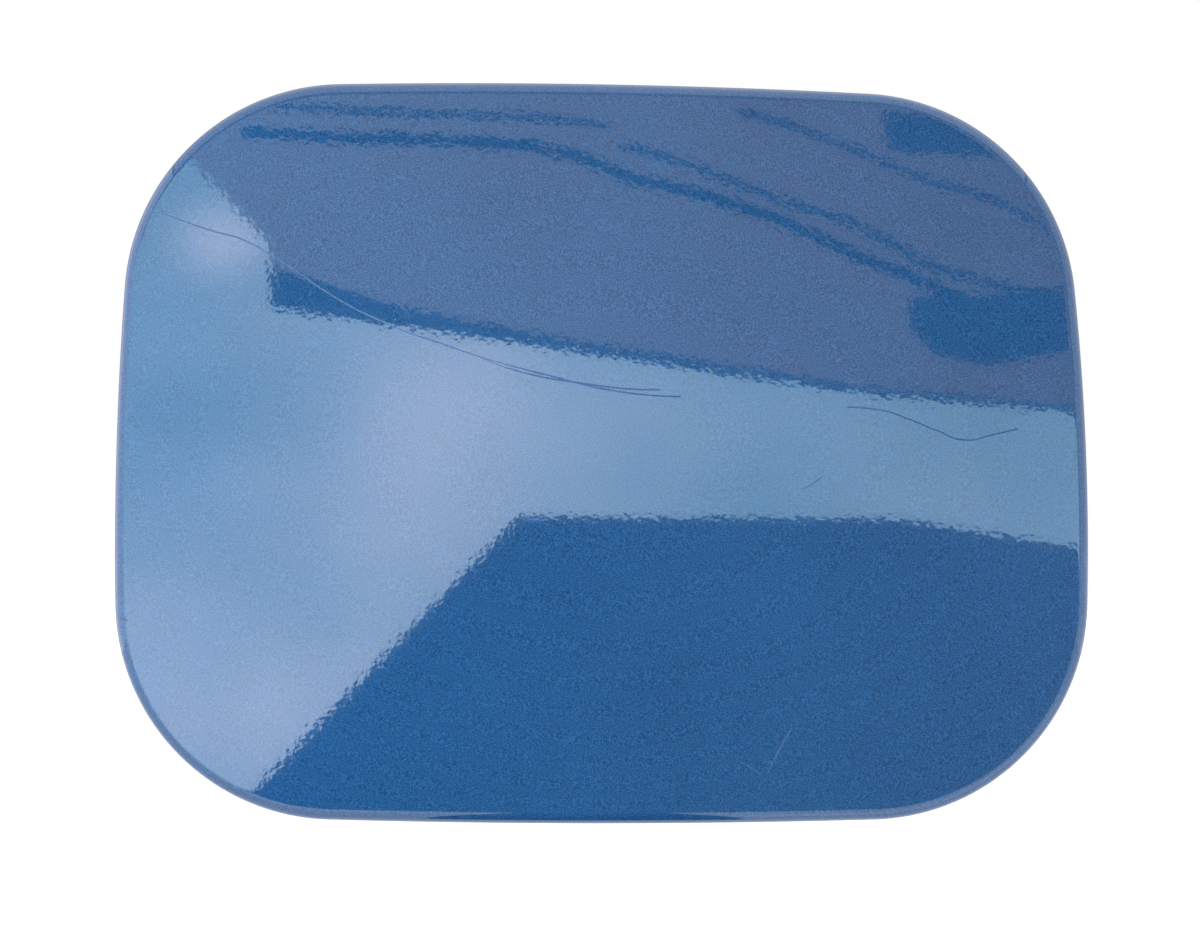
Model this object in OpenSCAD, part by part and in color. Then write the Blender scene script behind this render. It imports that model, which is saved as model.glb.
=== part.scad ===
// Hinged fuel door of a car: a crowned, painted steel skin hemmed round a stamped inner panel,
// which swings on a vertical pin held by a small bracket behind the door's left edge.
// The door is shut. X runs to the right as seen from outside, Y runs into the car, Z is up.
// The origin is midway between the bracket's two bolt holes, on the face that meets the car.

/* [Door outline] */
// Width over the two lower corners
door_w = 165; // [156:1:180]
// Height over the two left corners
door_h = 125; // [120:1:140]
// How far the upper left corner sits inside the lower left one
left_lean = 1.5; // [0:0.5:3]
// How far the upper right corner sits inside the lower right one
right_lean = 2; // [0:0.5:3]
// How much lower the upper right corner sits than the upper left one
shoulder_drop = 1.6; // [0:0.2:3]
// Radius of each corner
corner_r = 37; // [32:1:42]
// Radius of the bow of the lower edge
bottom_bow_r = 1800; // [900:100:3000]
// Radius of the bow of the right edge
right_bow_r = 460; // [300:20:900]
// Radius of the bow of the upper edge
top_bow_r = 1400; // [900:100:3000]
// Radius of the bow of the left edge
left_bow_r = 660; // [300:20:900]

/* [Door skin] */
// Radius of the face's crown from left to right
crown_x_r = 1800; // [1500:50:3000]
// Radius of the face's crown from top to bottom
crown_z_r = 900; // [800:50:2000]
// Thickness of the outer steel sheet
skin_t = 0.8; // [0.6:0.05:1]
// Radius of the rolled front edge
edge_r = 1.8; // [1.4:0.1:1.9]
// Width of the hem flange folded over the inner panel
hem_w = 7.5; // [6:0.25:8]
// Clearance between the inner panel and each face of the hem
hem_gap = 0.1; // [0.05:0.05:0.15]

/* [Inner panel] */
// Thickness of the inner steel sheet
panel_t = 0.75; // [0.6:0.05:0.9]
// Depth of the pan's floor behind the crest of the face
pan_depth = 7; // [6:0.25:8]
// Run of the pan's sloping wall
wall_run = 6.5; // [6:0.25:8]
// Height of the stiffening beads above the pan's floor
bead_h = 2.2; // [1.2:0.2:3]
// Width of the stiffening beads
bead_w = 10; // [8:0.5:11]
// Clearance between each bead and the pan's wall
bead_gap = 6; // [5:0.5:9]
// Radius of the open side of each mastic dimple
dimple_r = 6.25; // [5.5:0.25:7]
// Depth of each mastic dimple
dimple_h = 3.4; // [2.6:0.2:3.8]
// Clearance between a dimple and the end of the bead beside it
dimple_gap = 4.75; // [3:0.25:7]
// Radius of the round holes that drain the pan
drain_r = 6; // [4:0.5:7]

/* [Hinge] */
// Distance of the hinge pin from the door's left edge
pivot_in = 9.5; // [9:0.25:11]
// Height of the hinge pin's axis over the floor of the pan
pivot_rise = 4.25; // [4:0.25:5.5]
// Angle through which the door opens
open_angle = 100; // [80:5:105]
// Radius of the hinge pin
pin_r = 2.5; // [2:0.1:2.8]
// Radial running clearance of the pin in its bushes
pin_gap = 0.05; // [0.03:0.01:0.08]
// Thickness of the hinge arm's steel
arm_t = 1.6; // [1.2:0.1:2]
// Width of the hinge arm over its ears
arm_w = 41.6; // [36:0.4:44]
// Clearance between the pin's eye and the arm's web
web_gap = 5; // [4.5:0.25:7]
// Clearance between the arm's web and the cap holder
arm_gap = 19; // [15:1:26]
// Height of the arm's side flanges over the inner panel
flange_h = 5.75; // [5:0.25:6.5]
// Outer radius of the eyes round the pin
eye_r = 6; // [5.5:0.1:6.2]
// Wall of the bush barrels
bush_wall = 1; // [0.8:0.05:1.2]
// Thickness of the bush flanges
bush_flange_t = 1.2; // [0.8:0.1:1.4]
// End play between a bush flange and the bracket's ear
end_play = 0.4; // [0.3:0.05:0.8]
// Reach of the stop heels beyond the eyes
heel_reach = 2.8; // [2.4:0.1:3.4]
// Inside radius of the bends in the stamped steel pieces
bend_r = 1.2; // [0.8:0.1:1.6]

/* [Bracket] */
// Thickness of the bracket's steel
bracket_t = 1.6; // [1.2:0.1:2]
// Depth of the mounting face behind the crest of the face
mount_depth = 32; // [29:0.5:36]
// Distance between the two bolt holes
bolt_spacing = 54; // [50:1:60]
// Radius of the bolt holes
bolt_r = 3.3; // [2.6:0.1:3.6]
// Distance of the bolt holes from the hinge pin
bolt_reach = 27; // [25:0.5:32]
// Width of the plate that carries the bolt holes
foot_w = 22; // [18:1:26]
// Metal between each bolt hole and the end of its plate
foot_end = 4.6; // [4:0.2:7]
// Radius of the plate's corners
foot_corner_r = 5; // [2:0.5:6]
// Distance of the ears' back edge from the pin's axis
ear_back = 3.6; // [3:0.1:4]

/* [Spring] */
// Radius of the spring wire
wire_r = 0.8; // [0.6:0.05:0.9]
// Mean radius of the spring's coil
coil_r = 4.4; // [4.2:0.05:4.5]
// Whole turns of the coil
coil_turns = 8; // [5:1:9]
// Pitch of the coil
coil_pitch = 2; // [1.9:0.05:2.3]

/* [Latch striker] */
// Thickness of the striker's steel
striker_t = 1.6; // [1.2:0.1:2]
// Distance of the striker's tongue from the door's right edge
striker_in = 20.5; // [19:0.5:24]
// Length of the striker's base plate
striker_base = 18; // [16:0.5:22]
// How far the base plate reaches past the tongue on each side
striker_side = 3; // [2:0.5:5]
// Reach of the tongue behind the inner panel
tongue_h = 21; // [18:1:24]
// Width of the tongue
tongue_w = 18; // [16:1:20]
// Width of the slot for the lock bolt
slot_w = 9; // [7:0.5:10]
// Length of the slot for the lock bolt
slot_len = 7.5; // [6:0.5:8]
// Metal between the slot and the tongue's tip
slot_end = 4; // [3:0.5:6]
// Radius of the rivets' shanks
rivet_r = 1.6; // [1.2:0.1:2]
// Distance between the two rivets
rivet_spacing = 14; // [11:0.5:16]

/* [Cap holder] */
// Width of the holder that keeps the fuel cap off the paint
holder_w = 30; // [26:1:32]
// Wall of the moulded holder
holder_t = 2.4; // [2:0.1:2.8]
// Free depth of the holder's cradle
cradle_d = 10; // [8:0.5:12]
// Height of the cradle's front lip
lip_h = 9; // [7:0.5:10]
// Height of the holder's plate above the door's middle
holder_up = 15; // [13:0.5:18]
// Depth of the cradle's floor below the door's middle
holder_down = 12; // [10:0.5:16]
// Thickness of the ribs under the cradle
holder_rib_t = 1.8; // [1.4:0.1:2.2]
// Depth of the ribs under the cradle
holder_rib_h = 8; // [5:0.5:10]
// Clearance between the cap holder and the striker
holder_gap = 15; // [12:0.5:18]
// Radius of the screws' shanks
screw_r = 1.5; // [1.2:0.1:1.9]
// Radius of the screws' heads
screw_head_r = 3.4; // [2.8:0.1:3.8]

/* [Bump stops] */
// Radius of the rubber buttons
button_r = 5.5; // [4.5:0.25:6]
// Height of the rubber buttons
button_h = 6; // [4:0.5:7]
// Radius of the stems that hold the buttons
stem_r = 2.9; // [2.4:0.1:3.2]
// Distance of the right buttons from the door's right edge
button_in = 26; // [25:0.5:30]
// Clearance between the left buttons and the hinge arm
button_gap = 1.8; // [1.4:0.2:4]
// Clearance between the left buttons and the dimples beside them
pad_gap = 9.75; // [8:0.25:11]

/* [Hidden] */
$fn = 48;

paint = "steelblue";
// Facets along each corner and along each bowed side of the outline
corner_steps = 12;
side_steps = 6;
overlap = 0.1;
seat = 0.02;

// Corner centres and bow radii, counter-clockwise from the lower left as seen from outside
corner_x = door_w / 2 - corner_r;
corner_z = door_h / 2 - corner_r;
corners = [
    [-corner_x, -corner_z],
    [corner_x, -corner_z],
    [corner_x - right_lean, corner_z - shoulder_drop],
    [left_lean - corner_x, corner_z]
];
bows = [bottom_bow_r, right_bow_r, top_bow_r, left_bow_r];

// Layers of the hem, as depths behind the crowned face
rim_w = pivot_in - 0.5;
hem_depth = 2 * skin_t + panel_t + 2 * hem_gap;
edge_back_r = hem_depth - edge_r;
rim_front = skin_t + hem_gap;
panel_edge = 1.6 * skin_t + 4 * hem_gap;
core_inset = rim_w + wall_run;
pan_back = pan_depth + panel_t;

// Hinge axis, the planes of the ears and the web
pin_x = pivot_in - door_w / 2;
pivot_depth = pan_back + pivot_rise;
tongue_x = door_w / 2 - striker_in;
holder_x = tongue_x - striker_base - holder_gap - holder_w / 2;
web_left = pin_x + eye_r + web_gap;
web_right = holder_x - holder_w / 2 - arm_gap;
web_len = web_right - web_left;
web_hole_x = web_left + 0.595 * web_len;
web_hole_r = 0.155 * web_len;
arm_half = arm_w / 2;
bracket_half = arm_half + bush_flange_t + end_play + bracket_t;
bush_r = pin_r + pin_gap + bush_wall;
heel_r = eye_r + heel_reach;
heel_start = 164;
heel_span = 26;
stop_play = 2.5;
stop_angle = heel_start - open_angle - stop_play;

// Bracket plan
bolt_x = pin_x + bolt_reach;
foot_left = bolt_x - foot_w / 2;
foot_right = bolt_x + foot_w / 2;
foot_half = bolt_spacing / 2 + bolt_r + foot_end;
base_front = mount_depth - bracket_t;
ear_left = pin_x - ear_back;

// Spring: the angles at which its coil starts and ends, and the holes that take its two ends
coil_from = -15;
coil_to = 74 - 360 * (coil_turns + 1);
coil_half = (coil_from - coil_to) / 360 * coil_pitch / 2;
leg_bend = 2;
hook_gap = 0.15;
base_hook_x = on_coil(coil_from).x + (base_front - leg_bend - on_coil(coil_from).y) / tan(coil_from + 90);
arm_hook_y = pan_back + arm_t + wire_r + 0.9;
arm_hook_x = on_coil(coil_to).x + (on_coil(coil_to).y - arm_hook_y) / tan(90 - coil_to);

// Clip and the groove that it sits in
clip_t = 0.7;
clip_gap = 0.6;
groove_r = 0.76 * pin_r;

// Beads of the inner panel, and places on it as [x, z]
bead_z = door_h / 2 - core_inset - bead_w / 2 - bead_gap;
dimple_floor = pan_depth - dimple_h;
button_x = ear_left + button_r + 15.6;
button_z = arm_half + button_r + button_gap;
dimple_x = button_x + button_r + dimple_r + pad_gap;
dimple_z = bead_z - bead_w / 2 - dimple_r - 0.75;
bead_left = dimple_x + dimple_r + dimple_gap;
bead_right = tongue_x - striker_base - 5;
mastic_places = [
    [dimple_x, arm_half + dimple_r + 3],
    [dimple_x, -arm_half - dimple_r - 3],
    [holder_x, dimple_z],
    [holder_x, -dimple_z]
];
bump_places = [
    [button_x, button_z],
    [button_x, -button_z],
    [door_w / 2 - button_in, bead_z - 3],
    [door_w / 2 - button_in, 3 - bead_z]
];
drain_x = tongue_x - striker_base - drain_r;
drain_places = [
    [drain_x, bead_z - bead_w / 2 - drain_r - 3],
    [drain_x, drain_r + 3 + bead_w / 2 - bead_z],
    [(web_right + holder_x - holder_w / 2) / 2, 0]
];
rivet_x = tongue_x - striker_base / 2 - 2;
screw_x = holder_w / 2 - screw_head_r - 2.6;
screw_z = holder_up - screw_head_r - 3.6;
boss_h = 1.4;

function on_coil(a) = [pin_x + coil_r * cos(a), pivot_depth + coil_r * sin(a)];
function crown(x, z) = x * x / (2 * crown_x_r) + z * z / (2 * crown_z_r);

// Centre of the bow between corner i and the next, which touches both corner circles from inside
function bow_centre(i) =
    let (
        a = corners[i],
        b = corners[(i + 1) % 4],
        half = norm(b - a) / 2,
        along = (b - a) / (2 * half),
        rise = sqrt(pow(bows[i] - corner_r, 2) - half * half)
    )
    (a + b) / 2 + rise * [-along.y, along.x];

function angle_of(v) = atan2(v.y, v.x);
function unwound(from, to) = to < from ? to + 360 : to;

// Outline as [x, z, outward x, outward z]
function arc_of(centre, r, from, to, steps, first, last) = [
    for (k = [first:last])
        let (a = from + (unwound(from, to) - from) * k / steps)
            [centre.x + r * cos(a), centre.y + r * sin(a), cos(a), sin(a)]
];
edge = [
    for (i = [0:3])
        let (
            here = corners[i],
            next = corners[(i + 1) % 4],
            before = bow_centre((i + 3) % 4),
            after = bow_centre(i)
        )
            each concat(
                arc_of(here, corner_r, angle_of(here - before), angle_of(here - after),
                    corner_steps, 0, corner_steps),
                arc_of(after, bows[i], angle_of(here - after), angle_of(next - after),
                    side_steps, 1, side_steps - 1)
            )
];

// A ring that follows the outline at an inset, lying at a depth behind the crowned face
function ring(inset, depth) = [
    for (p = edge)
        let (x = p[0] - p[2] * inset, z = p[1] - p[3] * inset)
            [x, crown(x, z) + depth, z]
];
// The same ring drawn in towards the middle of the door
function core_ring(share, depth) = [
    for (p = ring(core_inset, 0))
        [p.x * share, crown(p.x * share, p.z * share) + depth, p.z * share]
];
// A ring on the pan's sloping wall, between the crowned rim and the flat floor
function wall_ring(run, drop, thickness) = [
    for (p = ring(rim_w + wall_run * run, rim_front))
        [p.x, p.y * (1 - drop) + pan_depth * drop + thickness, p.z]
];

function strip(n, k) = [
    for (j = [0:n - 1])
        let (a = k * n + j, b = k * n + (j + 1) % n)
            each [[a, b, b + n], [a, b + n, a + n]]
];

// A closed solid through a list of rings, with a point in the middle of each end
module ring_solid(rings, first_tip, last_tip) {
    n = len(rings[0]);
    count = len(rings);
    last = (count - 1) * n;
    polyhedron(
        points = concat([for (r = rings) each r], [first_tip, last_tip]),
        faces = concat(
            [for (k = [0:count - 2]) each strip(n, k)],
            [for (j = [0:n - 1]) [count * n, (j + 1) % n, j]],
            [for (j = [0:n - 1]) [last + j, last + (j + 1) % n, count * n + 1]]
        )
    );
}

// Puts a model drawn round the door's crest into the part's own frame
module placed() {
    translate([-bolt_x, -mount_depth, 0]) children();
}
// Turns a solid drawn along +Z so that it runs into the car from the given place on the door
module into_car(x, z, depth) {
    translate([x, depth, z]) rotate([-90, 0, 0]) children();
}

// The painted sheet: face, rolled edge and the flange folded back behind it
module outer_skin() {
    face_insets = [core_inset, 9, 4.5];
    front_roll = [for (a = [0:18:90]) [edge_r * (1 - sin(a)), edge_r * (1 - cos(a))]];
    back_roll = [
        for (a = [30:30:90])
            [edge_back_r * (1 - cos(a)), edge_r + edge_back_r * sin(a)]
    ];
    fold = 1.5 * skin_t;
    hem_front = hem_depth - skin_t;
    color(paint) placed() ring_solid(
        concat(
            [for (s = [0.3, 0.65]) core_ring(s, 0)],
            [for (i = face_insets) ring(i, 0)],
            [for (p = front_roll) ring(p[0], p[1])],
            [for (p = back_roll) ring(p[0], p[1])],
            [
                ring(hem_w, hem_depth),
                ring(hem_w, hem_front),
                ring(fold + 0.4, hem_front),
                ring(fold, hem_depth / 2),
                ring(fold + 0.4, skin_t)
            ],
            [for (k = [2, 1, 0]) ring(face_insets[k], skin_t)],
            [for (s = [0.65, 0.3]) core_ring(s, skin_t)]
        ),
        [0, 0, 0],
        [0, skin_t, 0]
    );
}

// A drafted stadium that stands on the floor of the pan: [radius, depth] for each level
module stadium_plug(length, levels) {
    steps = 8;
    function stadium(r) = [
        for (side = [0, 1], k = [0:steps])
            let (a = 180 * side - 90 + 180 * k / steps)
                [(side == 0 ? length / 2 : -length / 2) + r * cos(a), r * sin(a)]
    ];
    ring_solid(
        [for (l = levels) [for (p = stadium(l[0])) [p.x, l[1], p.y]]],
        [0, levels[0][1], 0],
        [0, levels[len(levels) - 1][1], 0]
    );
}

module bead_plug(shift, grow) {
    base = bead_w / 2 + grow;
    stadium_plug(bead_right - bead_left - bead_w, [
        [base + 0.3, shift],
        [base, shift + 0.3],
        [base - 0.5 * bead_h, shift + 0.75 * bead_h],
        [base - bead_h, shift + bead_h]
    ]);
}

// The stamped panel inside the hem: rim, sloping wall, flat floor, beads, dimples and holes
module inner_panel() {
    wall = [[0.1, 0.05], [0.3, 0.24], [0.7, 0.76], [0.9, 0.95], [1, 1]];
    steps = len(wall) - 1;
    bead_x = (bead_left + bead_right) / 2;
    slope = 0.7 * dimple_h;
    cut = 3 * panel_t;
    color(paint) placed() difference() {
        union() {
            ring_solid(
                concat(
                    [for (k = [steps:-1:0]) wall_ring(wall[k][0], wall[k][1], 0)],
                    [ring(rim_w, rim_front), ring(panel_edge, rim_front)],
                    [ring(panel_edge, rim_front + panel_t), ring(rim_w, rim_front + panel_t)],
                    [for (k = [0:steps]) wall_ring(wall[k][0], wall[k][1], panel_t)]
                ),
                [0, pan_depth, 0],
                [0, pan_back, 0]
            );
            for (side = [-1, 1])
                translate([bead_x, 0, side * bead_z]) bead_plug(pan_back - 0.3, 0);
            for (p = mastic_places)
                into_car(p.x, p.y, dimple_floor)
                    cylinder(h = dimple_h + panel_t / 2, r1 = dimple_r - slope, r2 = dimple_r);
        }
        for (side = [-1, 1])
            translate([bead_x, 0, side * bead_z]) bead_plug(pan_depth - 0.3, -0.5);
        for (p = mastic_places)
            into_car(p.x, p.y, dimple_floor + panel_t)
                cylinder(h = dimple_h + overlap, r1 = dimple_r - slope - 0.5, r2 = dimple_r - 0.3);
        for (p = bump_places)
            into_car(p.x, p.y, pan_depth - panel_t) cylinder(h = cut, r = stem_r + seat);
        for (p = drain_places)
            into_car(p.x, p.y, pan_depth - panel_t) cylinder(h = cut, r = drain_r);
        for (side = [-1, 1]) {
            into_car(rivet_x, side * rivet_spacing / 2, pan_depth - panel_t)
                cylinder(h = cut, r = rivet_r + seat);
            into_car(holder_x + side * screw_x, screw_z, pan_depth - panel_t)
                cylinder(h = cut, r = screw_r + seat);
        }
    }
}

// A pad of anti-flutter mastic between a dimple and the skin
module mastic_pad(place) {
    r = 0.55 * dimple_r;
    front = crown(abs(place.x) + r, abs(place.y) + r) + skin_t + 0.1;
    color("dimgray") placed() into_car(place.x, place.y, front)
        cylinder(h = dimple_floor - front, r1 = r + 0.4, r2 = r);
}

// A rubber button with its stem and the barb that holds it in the inner panel
module bump_stop(place) {
    barb = 1.3 * stem_r;
    tip = pan_depth - 0.9 * stem_r;
    neck = pan_back + seat;
    profile = [
        [0, tip],
        [0.8 * stem_r, tip],
        [barb, pan_depth - 0.25 * stem_r],
        [barb, pan_depth - seat],
        [stem_r, pan_depth - seat],
        [stem_r, neck],
        [button_r, neck],
        [button_r, neck + 0.25 * button_h],
        [0.72 * button_r, neck + 0.85 * button_h],
        [0.55 * button_r, neck + button_h],
        [0, neck + button_h]
    ];
    color("#1c1c1e") placed() into_car(place.x, place.y, 0) rotate_extrude() polygon(profile);
}

function arc_points(centre, r, from, to, steps) = [
    for (k = [0:steps])
        let (a = from + (to - from) * k / steps)
            [centre.x + r * cos(a), centre.y + r * sin(a)]
];
// Angle, seen from a circle's centre, at which a line from a point touches the circle
function touch_angle(centre, r, point, side) =
    let (d = point - centre)
        angle_of(d) + side * acos(r / norm(d));

// Side view of the arm's ear: the eye with its stop heel, and the flange beside the web
function arm_outline() =
    let (
        pin = [pin_x, pivot_depth],
        crest = pan_back + flange_h,
        shoulder = [web_left + 0.07 * web_len, crest - 0.3],
        first = touch_angle(pin, eye_r, shoulder, 1)
    )
    concat(
        arc_points(pin, eye_r, first, heel_start, 8),
        arc_points(pin, heel_r, heel_start, heel_start + heel_span, 4),
        arc_points(pin, eye_r, heel_start + heel_span + 16, 320, 12),
        [
            [pin_x + eye_r, pan_back],
            [web_right, pan_back],
            [web_right, pan_back + arm_t + 0.6],
            [web_right - 0.19 * web_len, crest],
            [web_left + 0.28 * web_len, crest],
            shoulder
        ]
    );

// A channel seen along its length: web at the bottom, two flanges, round bends
function channel(half, web, t, height, bend) = concat(
    [[half, web + height], [half - t, web + height]],
    arc_points([half - t - bend, web + t + bend], bend, 0, -90, 5),
    arc_points([t + bend - half, web + t + bend], bend, -90, -180, 5),
    [[t - half, web + height], [-half, web + height]],
    arc_points([t + bend - half, web + t + bend], t + bend, 180, 270, 6),
    arc_points([half - t - bend, web + t + bend], t + bend, -90, 0, 6)
);

// The stamped channel that is spot-welded to the inner panel and carries the two eyes
module hinge_arm() {
    color("#2a2b2e") placed() difference() {
        intersection() {
            translate([0, 0, -arm_half]) linear_extrude(arm_w) polygon(arm_outline());
            union() {
                translate([web_left, 0, 0]) rotate([90, 0, 90])
                    linear_extrude(web_len + overlap)
                        polygon([
                            for (p = channel(arm_half, pan_back, arm_t, 2 * eye_r, bend_r))
                                [p.y, p.x]
                        ]);
                for (side = [-1, 1])
                    translate([pin_x - heel_r - 1, 0, side * (arm_half - arm_t / 2) - arm_t / 2])
                        cube([web_left + overlap - pin_x + heel_r + 1, 4 * eye_r, arm_t]);
            }
        }
        translate([pin_x, pivot_depth, -arm_half - arm_t])
            cylinder(h = arm_w + 2 * arm_t, r = bush_r + seat);
        into_car(web_hole_x, 0, pan_back - arm_t) cylinder(h = 3 * arm_t, r = web_hole_r);
        translate([arm_hook_x, arm_hook_y, arm_half - 2 * arm_t])
            cylinder(h = 3 * arm_t, r = wire_r + hook_gap);
    }
}

// A flanged nylon bush pressed into an eye of the arm; side is 1 for the upper one
module arm_bush(side) {
    bore = pin_r + pin_gap;
    low = arm_half - arm_t - bush_wall;
    flange = arm_half + seat;
    profile = [
        [bore, low],
        [bush_r - 0.25, low],
        [bush_r, low + 0.25],
        [bush_r, flange],
        [bush_r + 1.6, flange],
        [bush_r + 1.6, flange + bush_flange_t],
        [bore, flange + bush_flange_t]
    ];
    color("ivory") placed() translate([pin_x, pivot_depth, 0]) mirror([0, 0, side > 0 ? 0 : 1])
        rotate_extrude() polygon(profile);
}

// The striker that the lock bolt catches: a bent plate with a slotted tongue
module latch_striker() {
    outer = bend_r + striker_t;
    tip = pan_back + tongue_h;
    base_left = tongue_x - striker_base;
    side_view = concat(
        [[base_left, pan_back], [tongue_x - outer, pan_back]],
        arc_points([tongue_x - outer, pan_back + outer], outer, -90, 0, 6),
        [[tongue_x, tip], [tongue_x - striker_t, tip]],
        arc_points([tongue_x - outer, pan_back + outer], bend_r, 0, -90, 5),
        [[base_left, pan_back + striker_t]]
    );
    half = tongue_w / 2;
    wide = half + striker_side;
    knee = pan_back + outer + 1;
    tip_r = slot_end + 1;
    face_view = concat(
        [[pan_back - 1, -wide], [knee, -wide], [knee + striker_side, -half]],
        arc_points([tip - tip_r, tip_r - half], tip_r, -90, 0, 6),
        arc_points([tip - tip_r, half - tip_r], tip_r, 0, 90, 6),
        [[knee + striker_side, half], [knee, wide], [pan_back - 1, wide]]
    );
    color("silver") placed() difference() {
        intersection() {
            translate([0, 0, -wide]) linear_extrude(2 * wide) polygon(side_view);
            translate([base_left - 1, 0, 0]) rotate([0, 90, 0])
                linear_extrude(striker_base + 2) polygon([for (p = face_view) [-p.y, p.x]]);
        }
        translate([tongue_x - outer - 1, tip - slot_end - slot_len, -slot_w / 2])
            cube([outer + 2, slot_len, slot_w]);
        for (side = [-1, 1])
            into_car(rivet_x, side * rivet_spacing / 2, pan_back - striker_t)
                cylinder(h = 3 * striker_t, r = rivet_r + seat);
    }
}

// A blind rivet: domed head on the striker, shank, and the set end inside the pan
module striker_rivet(side) {
    r = rivet_r;
    head = pan_back + striker_t + seat;
    profile = concat(
        [[0, pan_depth - 1.25 * r], [1.25 * r, pan_depth - 1.25 * r]],
        [[1.55 * r, pan_depth - 0.5 * r], [1.4 * r, pan_depth - seat]],
        [[r, pan_depth - seat], [r, head], [2.1 * r, head], [2 * r, head + 0.3 * r]],
        [[1.5 * r, head + 0.6 * r], [0.8 * r, head + 0.75 * r], [0, head + 0.8 * r]]
    );
    color("lightgray") placed() into_car(rivet_x, side * rivet_spacing / 2, 0)
        rotate_extrude() polygon(profile);
}

// The moulded cradle that the fuel cap hangs in while the car is filled
module cap_holder() {
    back = pan_back;
    plate = back + holder_t;
    lip = plate + cradle_d;
    floor_z = holder_t - holder_down;
    round_r = 2;
    j_view = concat(
        [[back, holder_up], [back, -holder_down - 2], [lip, -holder_down]],
        arc_points([lip + holder_t - round_r, round_r - holder_down], round_r, -90, 0, 5),
        arc_points([lip + holder_t / 2, lip_h - holder_down], holder_t / 2, 0, 180, 8),
        arc_points([lip - round_r, floor_z + round_r], round_r, 0, -90, 5),
        arc_points([plate + round_r, floor_z + round_r], round_r, 270, 180, 5),
        [[plate, holder_up - 1], [plate - 1, holder_up]]
    );
    rib_view = [
        [back, 1 - holder_down],
        [back, -holder_down - holder_rib_h],
        [plate, -holder_down - holder_rib_h],
        [lip, 1 - holder_down]
    ];
    window_w = holder_w / 4;
    window_h = lip_h - holder_t - 3;
    color("#222326") placed() translate([holder_x, 0, 0]) difference() {
        union() {
            translate([-holder_w / 2, 0, 0]) rotate([90, 0, 90])
                linear_extrude(holder_w) polygon(j_view);
            for (x = [-1, 0, 1] * (holder_w - holder_rib_t) / 2)
                translate([x - holder_rib_t / 2, 0, 0]) rotate([90, 0, 90])
                    linear_extrude(holder_rib_t) polygon(rib_view);
            for (side = [-1, 1])
                into_car(side * screw_x, screw_z, plate - overlap)
                    cylinder(h = boss_h + overlap, r1 = screw_head_r + 1, r2 = screw_head_r + 0.6);
        }
        for (side = [-1, 1]) {
            into_car(side * screw_x, screw_z, back - holder_t)
                cylinder(h = 3 * holder_t + boss_h, r = screw_r + seat);
            translate([side * holder_w / 4 - window_w / 2, lip - 1, floor_z + 1.4])
                cube([window_w, holder_t + 2, window_h]);
        }
    }
}

// A pan-head screw that holds the cap holder; side is -1 for the left one
module cap_holder_screw(side) {
    head = pan_back + holder_t + boss_h + seat;
    head_h = 0.65 * screw_head_r;
    profile = [
        [0, pan_depth - 1.6 * screw_r],
        [0.5 * screw_r, pan_depth - 1.6 * screw_r],
        [screw_r, pan_depth - 0.7 * screw_r],
        [screw_r, head],
        [screw_head_r, head],
        [screw_head_r, head + 0.36 * head_h],
        [0.8 * screw_head_r, head + 0.77 * head_h],
        [0.47 * screw_head_r, head + 0.95 * head_h],
        [0, head + head_h]
    ];
    recess_w = 0.3 * screw_head_r;
    recess_len = 1.12 * screw_head_r;
    color("#3b3c3f") placed() difference() {
        into_car(holder_x + side * screw_x, screw_z, 0) rotate_extrude() polygon(profile);
        for (turn = [0, 90])
            translate([holder_x + side * screw_x, head + 0.45 * head_h, screw_z])
                rotate([0, turn, 0]) translate([-recess_len / 2, 0, -recess_w / 2])
                    cube([recess_len, head_h, recess_w]);
    }
}

// Side view of the bracket's ear, from the eye down to its base
function bracket_outline() =
    let (
        pin = [pin_x, pivot_depth],
        knee = [ear_left, pivot_depth + 1.5 * eye_r],
        right = [foot_left + overlap, base_front],
        left_touch = touch_angle(pin, eye_r, knee, 1),
        right_touch = touch_angle(pin, eye_r, right, -1)
    )
    concat(
        [[ear_left, mount_depth], knee],
        arc_points(pin, eye_r, left_touch, right_touch + 360, 18),
        [right, [right.x, mount_depth]]
    );

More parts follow.
